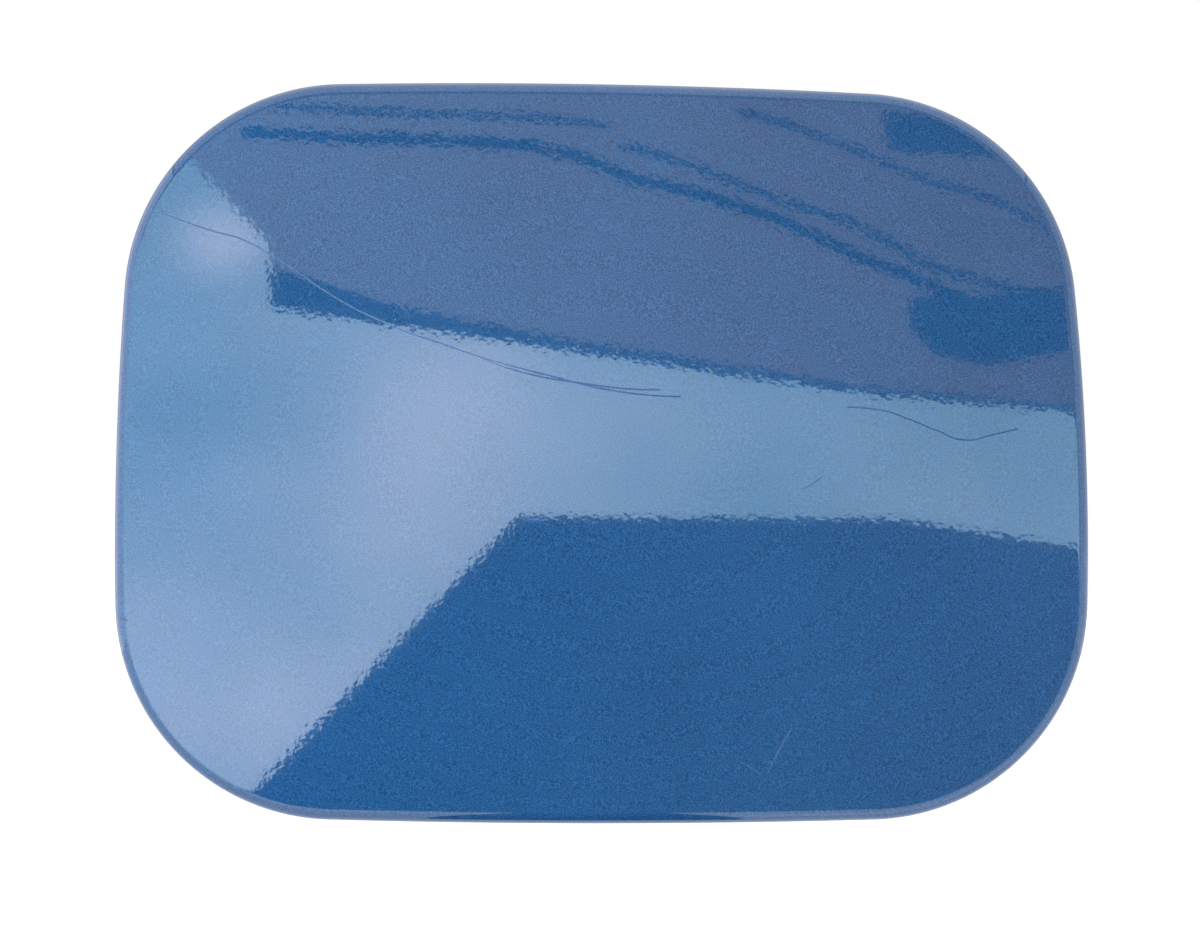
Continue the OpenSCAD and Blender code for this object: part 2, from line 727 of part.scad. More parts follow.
// The fixed half of the hinge: two ears and a base folded from one plate, with a bolted foot
module hinge_bracket() {
    inner = bracket_half - bracket_t;
    neck = inner - bend_r;
    c = foot_corner_r;
    foot = concat(
        [[foot_left - overlap, -neck], [foot_left, 1.5 * c - foot_half]],
        arc_points([foot_left + c, c - foot_half], c, 180, 270, 6),
        arc_points([foot_right - c, c - foot_half], c, 270, 360, 6),
        arc_points([foot_right - c, foot_half - c], c, 0, 90, 6),
        arc_points([foot_left + c, foot_half - c], c, 90, 180, 6),
        [[foot_left, foot_half - 1.5 * c], [foot_left - overlap, neck]]
    );
    tab_r = eye_r + 0.9;
    tab_in = bush_flange_t + end_play + arm_t + 0.4;
    color("#b9bcc0") placed() difference() {
        union() {
            intersection() {
                translate([0, 0, -bracket_half])
                    linear_extrude(2 * bracket_half) polygon(bracket_outline());
                translate([ear_left - heel_r, 0, 0]) rotate([90, 0, 90])
                    linear_extrude(foot_left - ear_left + heel_r + overlap)
                        polygon([
                            for (p = channel(bracket_half, 0, bracket_t, mount_depth, bend_r))
                                [mount_depth - p.y, p.x]
                        ]);
            }
            translate([0, mount_depth, 0]) rotate([90, 0, 0]) linear_extrude(bracket_t) polygon(foot);
            for (side = [-1, 1])
                translate([pin_x, pivot_depth, 0]) rotate([0, 0, stop_angle])
                    translate([tab_r, -bracket_t, side > 0 ? inner - tab_in : -inner - overlap])
                        cube([heel_reach, bracket_t, tab_in + overlap]);
        }
        translate([pin_x, pivot_depth, -2 * bracket_half])
            cylinder(h = 4 * bracket_half, r = pin_r + seat);
        for (side = [-1, 1])
            into_car(bolt_x, side * bolt_spacing / 2, base_front - bracket_t)
                cylinder(h = 3 * bracket_t, r = bolt_r);
        into_car(base_hook_x, -coil_half, base_front - bracket_t)
            cylinder(h = 3 * bracket_t, r = wire_r + hook_gap);
    }
}

// The headed pin, with a groove for its clip below the lower ear
module hinge_pin() {
    groove = -bracket_half - clip_gap;
    low = groove - 0.3 - clip_t - 0.7 * pin_r;
    high = bracket_half + seat;
    profile = [
        [0, low],
        [0.8 * pin_r, low],
        [pin_r, low + 0.2 * pin_r],
        [pin_r, groove - 0.1 - clip_t],
        [groove_r, groove - 0.1 - clip_t],
        [groove_r, groove + 0.1],
        [pin_r, groove + 0.1],
        [pin_r, high],
        [1.75 * pin_r, high],
        [1.75 * pin_r, high + 0.36 * pin_r],
        [1.45 * pin_r, high + 0.64 * pin_r],
        [0, high + 0.76 * pin_r]
    ];
    color("#9a9da1") placed() translate([pin_x, pivot_depth, 0]) rotate_extrude() polygon(profile);
}

// The spring clip that keeps the pin in place
module pin_clip() {
    outer = 1.85 * pin_r;
    color("#4a4c50") placed() translate([pin_x, pivot_depth, -bracket_half - clip_gap - clip_t])
        linear_extrude(clip_t) difference() {
            circle(r = outer);
            circle(r = groove_r + seat);
            rotate(-50) polygon([[0, 0], [2 * outer, -0.55 * outer], [2 * outer, 0.55 * outer]]);
            for (a = [70, 190])
                rotate(a) translate([1.08 * pin_r, 0]) circle(r = 0.36 * pin_r);
        }
}

// A rounded bend at b on the way from a to c, cut back by the given length
function bend_points(a, b, c, cut) =
    let (
        before = b + (a - b) * cut / norm(a - b),
        after = b + (c - b) * cut / norm(c - b)
    )
    [
        for (k = [0:4])
            let (t = k / 4)
                pow(1 - t, 2) * before + 2 * t * (1 - t) * b + t * t * after
    ];

// Centre line of the spring: an end in the bracket's base, the coil, an end in the arm's flange
function spring_path() =
    let (
        steps = 14 * coil_turns,
        start = on_coil(coil_from),
        end = on_coil(coil_to),
        base_tip = [base_hook_x, mount_depth - 0.4, -coil_half],
        arm_tip = [arm_hook_x, arm_hook_y, arm_half + wire_r]
    )
    concat(
        [base_tip],
        bend_points(base_tip, [base_hook_x, base_front - leg_bend, -coil_half],
            [start.x, start.y, -coil_half], leg_bend),
        [
            for (k = [0:steps])
                let (p = on_coil(coil_from + (coil_to - coil_from) * k / steps))
                    [p.x, p.y, coil_half * (2 * k / steps - 1)]
        ],
        bend_points([end.x, end.y, coil_half], [arm_hook_x, arm_hook_y, coil_half],
            arm_tip, 1.5 * leg_bend),
        [arm_tip]
    );

// A round bar swept along a path, with each ring turned as little as the path allows
module swept_wire(path, r) {
    sides = 8;
    last = len(path) - 1;
    function heading(i) =
        let (d = path[min(i + 1, last)] - path[max(i - 1, 0)])
            d / norm(d);
    function carried(v, t) =
        let (w = v - (v * t) * t)
            w / norm(w);
    ring_solid(
        [
            for (
                i = 0, side = carried([0, 0, 1], heading(0));
                i <= last;
                i = i + 1, side = carried(side, heading(min(i, last)))
            )
                let (up = cross(heading(i), side))
                    [
                        for (k = [0:sides - 1])
                            let (a = -360 * k / sides)
                                path[i] + r * (cos(a) * side + sin(a) * up)
                    ]
        ],
        path[0],
        path[last]
    );
}

module torsion_spring() {
    color("#303236") placed() swept_wire(spring_path(), wire_r);
}

outer_skin();
inner_panel();
mastic_pad(mastic_places[0]);  // mastic_pad_upper_left
mastic_pad(mastic_places[1]);  // mastic_pad_lower_left
mastic_pad(mastic_places[2]);  // mastic_pad_upper_right
mastic_pad(mastic_places[3]);  // mastic_pad_lower_right
bump_stop(bump_places[0]);  // bump_stop_upper_left
bump_stop(bump_places[1]);  // bump_stop_lower_left
bump_stop(bump_places[2]);  // bump_stop_upper_right
bump_stop(bump_places[3]);  // bump_stop_lower_right
hinge_arm();
arm_bush(1);  // arm_bush_upper
arm_bush(-1);  // arm_bush_lower
latch_striker();
striker_rivet(1);  // striker_rivet_upper
striker_rivet(-1);  // striker_rivet_lower
cap_holder();
cap_holder_screw(-1);  // cap_holder_screw_left
cap_holder_screw(1);  // cap_holder_screw_right
hinge_bracket();
hinge_pin();
pin_clip();
torsion_spring();
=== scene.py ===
# Fuel door of a car with its hinge, as it comes off the body. The script follows the door as it is
# put together: painted skin, inner panel, pads and stops, hinge, spring, striker and cap holder,
# and ends with the studio it is photographed in. Sizes are millimetres from the crest of its face.
from math import atan2, cos, hypot, pi, radians, sin, sqrt, tan

import bmesh
import bpy
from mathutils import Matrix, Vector
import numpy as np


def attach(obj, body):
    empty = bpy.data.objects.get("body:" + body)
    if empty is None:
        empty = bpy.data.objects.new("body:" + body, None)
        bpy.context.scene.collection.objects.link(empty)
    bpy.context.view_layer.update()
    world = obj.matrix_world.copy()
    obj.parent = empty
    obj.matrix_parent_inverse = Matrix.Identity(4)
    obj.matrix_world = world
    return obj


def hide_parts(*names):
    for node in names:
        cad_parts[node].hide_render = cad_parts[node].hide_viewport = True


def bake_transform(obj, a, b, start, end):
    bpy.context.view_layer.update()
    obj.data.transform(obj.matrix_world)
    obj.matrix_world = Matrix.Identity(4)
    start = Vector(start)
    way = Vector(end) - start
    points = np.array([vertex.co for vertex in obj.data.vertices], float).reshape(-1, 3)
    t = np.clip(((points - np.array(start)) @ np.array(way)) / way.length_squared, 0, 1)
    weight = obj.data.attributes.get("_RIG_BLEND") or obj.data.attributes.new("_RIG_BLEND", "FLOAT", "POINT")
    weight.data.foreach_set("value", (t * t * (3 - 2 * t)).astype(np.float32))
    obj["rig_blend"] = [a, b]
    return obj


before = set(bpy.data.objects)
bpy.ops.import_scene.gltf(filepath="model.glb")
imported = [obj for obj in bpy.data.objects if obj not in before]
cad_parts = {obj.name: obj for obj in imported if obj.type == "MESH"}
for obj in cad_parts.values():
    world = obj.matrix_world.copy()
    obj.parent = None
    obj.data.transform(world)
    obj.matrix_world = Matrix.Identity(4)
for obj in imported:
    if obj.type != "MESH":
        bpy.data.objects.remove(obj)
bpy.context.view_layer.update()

# ---- Outer skin ----
# The only part seen on a closed car: a blank of 0.8 mm deep-drawing steel, crowned in the press,
# its edge rolled round and folded flat behind the inner panel. It is sprayed with the body, in a
# metallic blue base coat under a clear coat that has picked up hairlines from washing.
MM = 0.001
CREST = Vector((46, -32, 0))
DOOR_W, DOOR_H, CORNER_R = 165, 125, 37
LEFT_LEAN, RIGHT_LEAN, SHOULDER_DROP = 1.5, 2, 1.6
CROWN_X_R, CROWN_Z_R = 1800, 900
SKIN_T, PANEL_T, HEM_GAP = 0.8, 0.75, 0.1
HEM_W, HEM_DEPTH = 7.5, 2.55
# The rolled edge turns from the face at one radius, and into the hem at a tighter one
EDGE_R, EDGE_BACK_R = 1.8, 0.75
# Inside this inset the face is a grid; outside it runs in rings, each with a point per station
FACE_INSET = 6
CORNER_STEPS = SIDE_STEPS = 36
STATIONS = 4 * (CORNER_STEPS + SIDE_STEPS)

corner_x, corner_z = DOOR_W / 2 - CORNER_R, DOOR_H / 2 - CORNER_R
# Centre of each corner and radius of the bow after it, counter-clockwise from the lower left
CORNERS = [
    (Vector((-corner_x, -corner_z)), 1800),
    (Vector((corner_x, -corner_z)), 460),
    (Vector((corner_x - RIGHT_LEAN, corner_z - SHOULDER_DROP)), 1400),
    (Vector((LEFT_LEAN - corner_x, corner_z)), 660),
]


def bow_centre(i):
    """Centre of the shallow bow that runs from corner i to the next."""
    a, b = CORNERS[i][0], CORNERS[(i + 1) % 4][0]
    half = (b - a).length / 2
    along = (b - a).normalized()
    rise = sqrt((CORNERS[i][1] - CORNER_R) ** 2 - half ** 2)
    return (a + b) / 2 + rise * Vector((-along.y, along.x))


def arc(centre, r, start, end, steps):
    """Points of an arc with their outward direction, counter-clockwise, without the last one."""
    a, b = atan2(start.y, start.x), atan2(end.y, end.x)
    b += 2 * pi if b < a else 0
    spokes = [a + (b - a) * k / steps for k in range(steps)]
    return [(centre + r * Vector((cos(t), sin(t))), Vector((cos(t), sin(t)))) for t in spokes]


# The door's outline as a point and its outward direction for each station
edge = []
for i, (here, bow_r) in enumerate(CORNERS):
    following = CORNERS[(i + 1) % 4][0]
    before, after = bow_centre((i + 3) % 4), bow_centre(i)
    edge += arc(here, CORNER_R, here - before, here - after, CORNER_STEPS)
    edge += arc(after, bow_r, here - after, following - after, SIDE_STEPS)


def crown(x, z):
    """How far the face has fallen away behind its crest."""
    return x * x / (2 * CROWN_X_R) + z * z / (2 * CROWN_Z_R)


def lay_ring(bm, verts, inset, depth, flat=0, floor=0):
    """Lays vertices on the outline drawn in by an inset, between the crown and a flat floor."""
    station = bm.verts.layers.int["station"]
    for v in verts:
        point, outward = edge[v[station]]
        x, z = point - inset * outward
        y = (crown(x, z) + depth) * (1 - flat) + floor * flat
        v.co = MM * (Vector((x, y, z)) + CREST)


def start_sheet(name, inset, depth):
    """A circle laid on the outline as the first ring of a pressed sheet, left in edit mode."""
    bpy.ops.object.select_all(action="DESELECT")
    bpy.ops.mesh.primitive_circle_add(vertices=STATIONS, radius=DOOR_W * MM / 2)
    sheet = bpy.context.object
    sheet.name = sheet.data.name = name
    bpy.ops.object.mode_set(mode="EDIT")
    bpy.ops.mesh.select_all(action="SELECT")
    bm = bmesh.from_edit_mesh(sheet.data)
    station = bm.verts.layers.int.new("station")
    for k, v in enumerate(bm.verts):
        v[station] = k
    lay_ring(bm, bm.verts, inset, depth)
    bmesh.update_edit_mesh(sheet.data)
    return sheet


def draw_ring(sheet, inset, depth, flat=0, floor=0):
    """Extrudes the selected ring and lays the new one where the sheet is bent to."""
    bpy.ops.mesh.extrude_edges_indiv()
    bm = bmesh.from_edit_mesh(sheet.data)
    lay_ring(bm, [v for v in bm.verts if v.select], inset, depth, flat, floor)
    bmesh.update_edit_mesh(sheet.data)


def fill_middle(sheet):
    """Fills the selected ring with a grid cornered at the middles of the door's corners."""
    bm = bmesh.from_edit_mesh(sheet.data)
    station = bm.verts.layers.int["station"]
    bm.select_history.clear()
    ring = [v for v in bm.verts if v.select]
    bm.select_history.add(next(v for v in ring if v[station] == CORNER_STEPS // 2))
    bpy.ops.mesh.fill_grid(span=STATIONS // 4)
    return {v.index for v in ring}


def crown_middle(sheet, ring, depth):
    """Presses the crown into the grid that has just filled a ring."""
    bm = bmesh.from_edit_mesh(sheet.data)
    for v in bm.verts:
        if v.select and v.index not in ring:
            x, _, z = v.co / MM - CREST
            v.co.y = MM * (crown(x, z) + depth + CREST.y)
    bmesh.update_edit_mesh(sheet.data)


def finish_piece(piece, material, angle=35):
    """Turns the faces outwards, smooths what isn't an edge, and gives the piece its finish."""
    bpy.ops.mesh.select_all(action="SELECT")
    bpy.ops.mesh.remove_doubles(threshold=1e-7)
    bpy.ops.mesh.normals_make_consistent(inside=False)
    bpy.ops.object.mode_set(mode="OBJECT")
    bpy.ops.object.shade_smooth_by_angle(angle=radians(angle))
    if "station" in piece.data.attributes:
        piece.data.attributes.remove(piece.data.attributes["station"])
    piece.data.materials.clear()
    piece.data.materials.append(material)


def lin(code):
    """A colour written as sRGB hex, in the linear values that a shader takes."""
    parts = [int(code[i:i + 2], 16) / 255 for i in (1, 3, 5)]
    return [p / 12.92 if p <= 0.04045 else ((p + 0.055) / 1.055) ** 2.4 for p in parts] + [1]


def add(tree, kind, settings, links=None):
    """Adds a node with its settings, and links outputs of other nodes into it."""
    made = tree.nodes.new("ShaderNode" + kind)
    for key, value in settings.items():
        if isinstance(key, int) or key in made.inputs:
            made.inputs[key].default_value = value
        else:
            setattr(made, key, value)
    for key, source in (links or {}).items():
        tree.links.new(source, made.inputs[key])
    return made


def new_finish(name, settings):
    """An empty material with its shader set, and the object's own coordinates in metres."""
    material = bpy.data.materials.new(name)
    material.use_nodes = True
    tree = material.node_tree
    tree.nodes.clear()
    shader = add(tree, "BsdfPrincipled", settings)
    add(tree, "OutputMaterial", {}, {"Surface": shader.outputs["BSDF"]})
    place = add(tree, "TexCoord", {}).outputs["Object"]
    return material, tree, shader, place


# Metallic enamel, sprayed and polished: aluminium flakes in a deep blue base coat show as a fine
# silvery grain, and the clear coat over them mirrors the surroundings with a faint orange peel.
PAINT_DEEP, PAINT_LIT = "#06294E", "#1B4A75"
FLAKE_MM = 0.23                 # flakes are 0.02 mm; drawn as coarse as their grain shows
FLAKE_HEIGHT, PEEL_HEIGHT = 0.025, 0.0036
PEEL_MM, SPRAY_PASS_MM = 1.1, 30
enamel, tree, shader, place = new_finish("metallic_blue_enamel", {
    "Metallic": 0.6, "Roughness": 0.5, "Specular IOR Level": 0.15,
    "Specular Tint": lin("#6F93B5"), "Coat Weight": 1.0, "Coat Roughness": 0.03, "Coat IOR": 1.5,
})
flakes = add(tree, "TexNoise", {"Scale": 1 / (FLAKE_MM * MM), "Detail": 2.0, "Roughness": 0.6},
             {"Vector": place})
passes = add(tree, "TexNoise", {"Scale": 1 / (SPRAY_PASS_MM * MM), "Detail": 1.0},
             {"Vector": place})
grain = add(tree, "MapRange", {"From Min": 0.41, "From Max": 0.68, "To Min": 0.0, "To Max": 1.15},
            {"Value": flakes.outputs[0]})
mixed = add(tree, "Math", {"operation": "MULTIPLY_ADD", 1: 0.3},
            {0: passes.outputs[0], 2: grain.outputs[0]})
tint = add(tree, "Mix", {"data_type": "RGBA", 6: lin(PAINT_DEEP), 7: lin(PAINT_LIT)},
           {0: mixed.outputs[0]})
sparkle = add(tree, "Bump", {"Strength": 1.0, "Distance": FLAKE_HEIGHT * MM},
              {"Height": flakes.outputs[0]})
peel = add(tree, "TexNoise", {"Scale": 1 / (PEEL_MM * MM), "Detail": 1.0}, {"Vector": place})
peel_bump = add(tree, "Bump", {"Strength": 1.0, "Distance": PEEL_HEIGHT * MM},
                {"Height": peel.outputs[0]})
tree.links.new(tint.outputs[2], shader.inputs["Base Color"])
tree.links.new(sparkle.outputs[0], shader.inputs["Normal"])

# Hairlines in the clear coat, each as [x, z] points: grooves whose two sides catch the light. Real
# ones are a few hundredths of a millimetre wide; drawn as wide as they need to show.
HAIRLINE_HALF, HAIRLINE_DEPTH = 0.14, 0.035
FADE_MM = 9                     # stretches over which a hairline goes from deep to hardly felt
HAIRLINES = [
    [(-74, 40.4), (-66, 37.5), (-60.8, 36), (-54.3, 32.3), (-44, 25.5), (-37.5, 22.2),
     (-25.5, 17.8), (-15.3, 14.6), (-6.9, 12.4), (0, 10.7), (6.7, 9.7), (13.5, 9.3)],
    [(-21, 16.4), (-12, 13.1), (-2, 11.4), (5, 10.6), (10, 10.5)],
    [(41.5, 7.6), (47.5, 7), (51.7, 5.6), (56.8, 3.6), (61.9, 2), (65.3, 2.7), (70.4, 3.9)],
    [(33.9, -6.3), (35.3, -5.6), (37.3, -4.2)],
    [(22.8, -52.1), (25, -53.2), (27.1, -54.7)],
    [(28.1, -54.3), (30, -50.5), (32.2, -46.7)],
    [(-82.1, -27.9), (-81.2, -28.2), (-80.2, -28.5)],
]
axes = add(tree, "SeparateXYZ", {}, {"Vector": place})
grooves = None
for points in HAIRLINES:
    xs, zs = [p[0] for p in points], [p[1] for p in points]
    left, right, low, high = min(xs), max(xs), min(zs) - 1, max(zs) + 1
    # The curve gives the line's height at each place along it
    along = add(tree, "MapRange", {
        "From Min": (left + CREST.x) * MM, "From Max": (right + CREST.x) * MM,
    }, {"Value": axes.outputs["X"]})
    course = add(tree, "FloatCurve", {}, {"Value": along.outputs[0]})
    dots = [((x - left) / (right - left), (z - low) / (high - low)) for x, z in points]
    curve = course.mapping.curves[0]
    curve.points[0].location, curve.points[-1].location = dots[0], dots[-1]
    for dot in dots[1:-1]:
        curve.points.new(*dot)
    course.mapping.update()
    height = add(tree, "MapRange", {"clamp": False, "To Min": low * MM, "To Max": high * MM},
                 {"Value": course.outputs[0]})
    above = add(tree, "Math", {"operation": "SUBTRACT"},
                {0: axes.outputs["Z"], 1: height.outputs[0]})
    off = add(tree, "Math", {"operation": "ABSOLUTE"}, {0: above.outputs[0]})
    near = add(tree, "MapRange", {
        "interpolation_type": "SMOOTHSTEP", "From Max": HAIRLINE_HALF * MM, "To Min": 1.0,
        "To Max": 0.0,
    }, {"Value": off.outputs[0]})
    between_ends = add(tree, "Math", {"operation": "COMPARE", 1: 0.5, 2: 0.499},
                       {0: along.outputs[0]})
    groove = add(tree, "Math", {"operation": "MULTIPLY"},
                 {0: near.outputs[0], 1: between_ends.outputs[0]})
    if grooves is not None:
        groove = add(tree, "Math", {"operation": "MAXIMUM"},
                     {0: groove.outputs[0], 1: grooves.outputs[0]})
    grooves = groove
fade = add(tree, "TexNoise", {"Scale": 1 / (FADE_MM * MM), "Detail": 1.0}, {"Vector": place})
strength = add(tree, "MapRange", {
    "From Min": 0.35, "From Max": 0.65, "To Min": 0.25, "To Max": 1.0,
}, {"Value": fade.outputs[0]})
scratch = add(tree, "Math", {"operation": "MULTIPLY"},
              {0: grooves.outputs[0], 1: strength.outputs[0]})
scratched = add(tree, "Bump", {
    "Strength": 1.0, "Distance": HAIRLINE_DEPTH * MM, "invert": True,
}, {"Height": scratch.outputs[0], "Normal": peel_bump.outputs[0]})
tree.links.new(scratched.outputs[0], shader.inputs["Coat Normal"])

skin = start_sheet("painted_skin", FACE_INSET, 0)
# Flat rings close up towards the roll, so that its first bend starts without a dent
BEND_START = 0.3
for inset in (4, 2.7, EDGE_R + BEND_START):
    draw_ring(skin, inset, 0)
ROLL_STEPS, BACK_STEPS = 12, 6
for k in range(ROLL_STEPS + 1):
    turn = pi / 2 * k / ROLL_STEPS
    draw_ring(skin, EDGE_R * (1 - sin(turn)), EDGE_R * (1 - cos(turn)))
for k in range(1, BACK_STEPS + 1):
    turn = pi / 2 * k / BACK_STEPS
    draw_ring(skin, EDGE_BACK_R * (1 - cos(turn)), EDGE_R + EDGE_BACK_R * sin(turn))
# The flange runs in behind the panel to its sheared edge, comes back, and turns into the skin
CUT_EASE, FOLD_R = 0.12, 0.4
hem_front, fold = HEM_DEPTH - SKIN_T, 1.5 * SKIN_T
for inset, depth in [
    (EDGE_BACK_R + BEND_START, HEM_DEPTH),
    (HEM_W - CUT_EASE, HEM_DEPTH), (HEM_W, HEM_DEPTH - CUT_EASE),
    (HEM_W, hem_front + CUT_EASE), (HEM_W - CUT_EASE, hem_front),
    (fold + FOLD_R, hem_front), (fold, HEM_DEPTH / 2), (fold + FOLD_R, SKIN_T),
    (FACE_INSET, SKIN_T),
]:
    draw_ring(skin, inset, depth)
# The sheet's inner face is closed at the last ring, and its outer face at the first
crown_middle(skin, fill_middle(skin), SKIN_T)
bpy.ops.mesh.select_all(action="DESELECT")
bpy.ops.mesh.select_non_manifold()
crown_middle(skin, fill_middle(skin), 0)
finish_piece(skin, enamel)
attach(skin, "door")
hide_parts("outer_skin")

# ---- Inner panel ----
# A second pressing of 0.75 mm steel that stiffens the skin: its rim is clamped in the hem, a wall
# steps down to a flat floor, and the floor carries two stiffening beads, four dimples for mastic
# pads, three drain holes and the holes of what is fixed to it. Body colour, thinly sprayed.
RIM_W, WALL_RUN, WALL_BOW, PAN_DEPTH = 9, 6.5, 0.75, 7
PANEL_EDGE = 1.68               # inset of the sheet's edge, which stops short of the hem's fold
PAN_BACK = PAN_DEPTH + PANEL_T
BEAD_Z, BEAD_W, BEAD_H, BEAD_SLOPE, BEAD_TOE = 36, 10, 2.2, 3, 0.2
BEAD_LEFT, BEAD_RIGHT = -23, 39
BEAD_MIDDLE, SPINE_HALF = (BEAD_LEFT + BEAD_RIGHT) / 2, (BEAD_RIGHT - BEAD_LEFT - BEAD_W) / 2
DIMPLE_R, DIMPLE_H, DIMPLE_SLOPE = 6.25, 3.4, 2.5
DIMPLE_PLACES = [(-34, 30), (-34, -30), (14, 24), (14, -24)]
# Punched holes, each kind with its radius, the sides it is cut with and its places
DRAIN_HOLES = 6, 64, [(38, 22), (38, -22), (-10.5, 0)]
STOP_HOLES = 2.92, 48, [(-55.5, 28.1), (-55.5, -28.1), (56.5, 33), (56.5, -33)]
RIVET_HOLES = 1.62, 48, [(51, 7), (51, -7)]
SCREW_HOLES = 1.52, 48, [(5, 8), (23, 8)]

# Thin base coat with little clear over it: satin, dry and speckled where the spray fell short. Its
# speckle is drawn far coarser than the flakes, so that it shows.
SPECKLE_MM, OVERSPRAY_MM, SPRAY_PEEL_MM, SPRAY_PEEL_HEIGHT = 0.5, 22, 1.6, 0.01
THIN_BLUE, FULL_BLUE = "#1B4A7E", "#2A5E93"
thin_paint, tree, shader, place = new_finish("thinly_sprayed_enamel", {
    "Metallic": 0.55, "Roughness": 0.5, "Coat Weight": 0.25, "Coat Roughness": 0.25,
})
speckle = add(tree, "TexNoise", {"Scale": 1 / (SPECKLE_MM * MM), "Detail": 2.0},
              {"Vector": place})
overspray = add(tree, "TexNoise", {"Scale": 1 / (OVERSPRAY_MM * MM), "Detail": 3.0},
                {"Vector": place})
level = add(tree, "MapRange", {"From Min": 0.35, "From Max": 0.68},
            {"Value": overspray.outputs[0]})
tint = add(tree, "Mix", {"data_type": "RGBA", 6: lin(THIN_BLUE), 7: lin(FULL_BLUE)},
           {0: level.outputs[0]})
grained = add(tree, "Mix", {"data_type": "RGBA", "blend_type": "OVERLAY", 0: 0.35},
              {6: tint.outputs[2], 7: speckle.outputs[0]})
dull = add(tree, "MapRange", {"To Min": 0.4, "To Max": 0.62}, {"Value": overspray.outputs[0]})
peel = add(tree, "TexNoise", {"Scale": 1 / (SPRAY_PEEL_MM * MM), "Detail": 1.0},
           {"Vector": place})
peel_bump = add(tree, "Bump", {"Strength": 1.0, "Distance": SPRAY_PEEL_HEIGHT * MM},
                {"Height": peel.outputs[0]})
tree.links.new(grained.outputs[2], shader.inputs["Base Color"])
tree.links.new(dull.outputs[0], shader.inputs["Roughness"])
tree.links.new(peel_bump.outputs[0], shader.inputs["Normal"])


def eased(t):
    """A bend with no kink at either end, from 0 to 1."""
    t = min(max(t, 0), 1)
    return t * t * (3 - 2 * t)


def from_spine(x, z):
    """Distance from the line along the middle of the nearer bead."""
    return hypot(max(abs(x - BEAD_MIDDLE) - SPINE_HALF, 0), abs(z) - BEAD_Z)


def floor_depth(x, z):
    """Depth of the panel's floor, with its beads pressed towards the car and its dimples back."""
    depth = PAN_DEPTH + BEAD_H * eased((BEAD_W / 2 + BEAD_TOE - from_spine(x, z)) / BEAD_SLOPE)
    for px, pz in DIMPLE_PLACES:
        depth -= DIMPLE_H * eased((DIMPLE_R - hypot(x - px, z - pz)) / DIMPLE_SLOPE)
    return depth


def refine_bends(sheet, beads_too, reach):
    """Cuts the floor's faces in four where they lie within reach of a dimple's or bead's slope."""
    bpy.ops.mesh.select_all(action="DESELECT")
    bm = bmesh.from_edit_mesh(sheet.data)
    for face in bm.faces:
        x, _, z = face.calc_center_median() / MM - CREST
        gaps = [abs(hypot(x - px, z - pz) - DIMPLE_R + DIMPLE_SLOPE / 2)
                for px, pz in DIMPLE_PLACES]
        if beads_too:
            gaps.append(abs(from_spine(x, z) - BEAD_W / 2 + BEAD_SLOPE / 2))
        if min(gaps) < reach:
            face.select_set(True)
    bmesh.update_edit_mesh(sheet.data)
    bpy.ops.mesh.subdivide(number_cuts=1)


def apply_all(piece):
    """Applies a piece's place and then its modifiers."""
    bpy.ops.object.select_all(action="DESELECT")
    piece.select_set(True)
    bpy.context.view_layer.objects.active = piece
    bpy.ops.object.transform_apply(location=True, rotation=True, scale=True)
    for modifier in list(piece.modifiers):
        bpy.ops.object.modifier_apply(modifier=modifier.name)


rim_depth = SKIN_T + HEM_GAP
panel = start_sheet("inner_panel_pressing", PANEL_EDGE, rim_depth)
for inset in (2.5, HEM_W - 0.4, RIM_W - 0.5):
    draw_ring(panel, inset, rim_depth)
# The wall leaves the rim and meets the floor in soft bends
WALL_STEPS = 12
for k in range(WALL_STEPS + 1):
    t = k / WALL_STEPS
    bent = t - WALL_BOW * sin(2 * pi * t) / (2 * pi)
    draw_ring(panel, RIM_W + WALL_RUN * t, rim_depth, bent, PAN_DEPTH)
fill_middle(panel)
# The grid is made finer closer and closer to the slopes, once more for the tighter dimples
for beads_too, reach in ((True, 3.6), (True, 2.2), (False, 1.9)):
    refine_bends(panel, beads_too, reach)
bm = bmesh.from_edit_mesh(panel.data)
for v in bm.verts:
    x, y, z = v.co / MM - CREST
    if abs(y - PAN_DEPTH) < 0.001:
        v.co.y = MM * (floor_depth(x, z) + CREST.y)
# The steel has its thickness square to its slope, all of it laid towards the car
STEEPEST = 0.4                  # least cosine of a slope, so that no wall grows too thick
bm.normal_update()
through = bm.verts.layers.float.new("through")
for v in bm.verts:
    v[through] = PANEL_T * MM / max(abs(v.normal.y), STEEPEST)
bmesh.update_edit_mesh(panel.data)
bpy.ops.mesh.select_all(action="SELECT")
bpy.ops.mesh.extrude_region()
bm = bmesh.from_edit_mesh(panel.data)
through = bm.verts.layers.float["through"]
for v in bm.verts:
    if v.select:
        v.co.y += v[through]
bm.verts.layers.float.remove(through)
bmesh.update_edit_mesh(panel.data)
finish_piece(panel, thin_paint)
# Round punches go right through from the crest's depth, joined into one tool
PUNCH_L = 20
punches = []
for r, sides, places in (DRAIN_HOLES, STOP_HOLES, RIVET_HOLES, SCREW_HOLES):
    for x, z in places:
        bpy.ops.object.select_all(action="DESELECT")
        bpy.ops.mesh.primitive_cylinder_add(
            vertices=sides, radius=r * MM, depth=PUNCH_L * MM, rotation=(pi / 2, 0, 0),
            location=MM * (Vector((x, PUNCH_L / 2, z)) + CREST))
        punches.append(bpy.context.object)
for punch in punches:
    punch.select_set(True)
bpy.ops.object.join()
punch = bpy.context.object
holes = panel.modifiers.new("holes", "BOOLEAN")
holes.operation, holes.object, holes.solver = "DIFFERENCE", punch, "EXACT"
apply_all(panel)
bpy.data.objects.remove(punch)
bpy.ops.object.mode_set(mode="EDIT")
finish_piece(panel, thin_paint, 50)
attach(panel, "door")
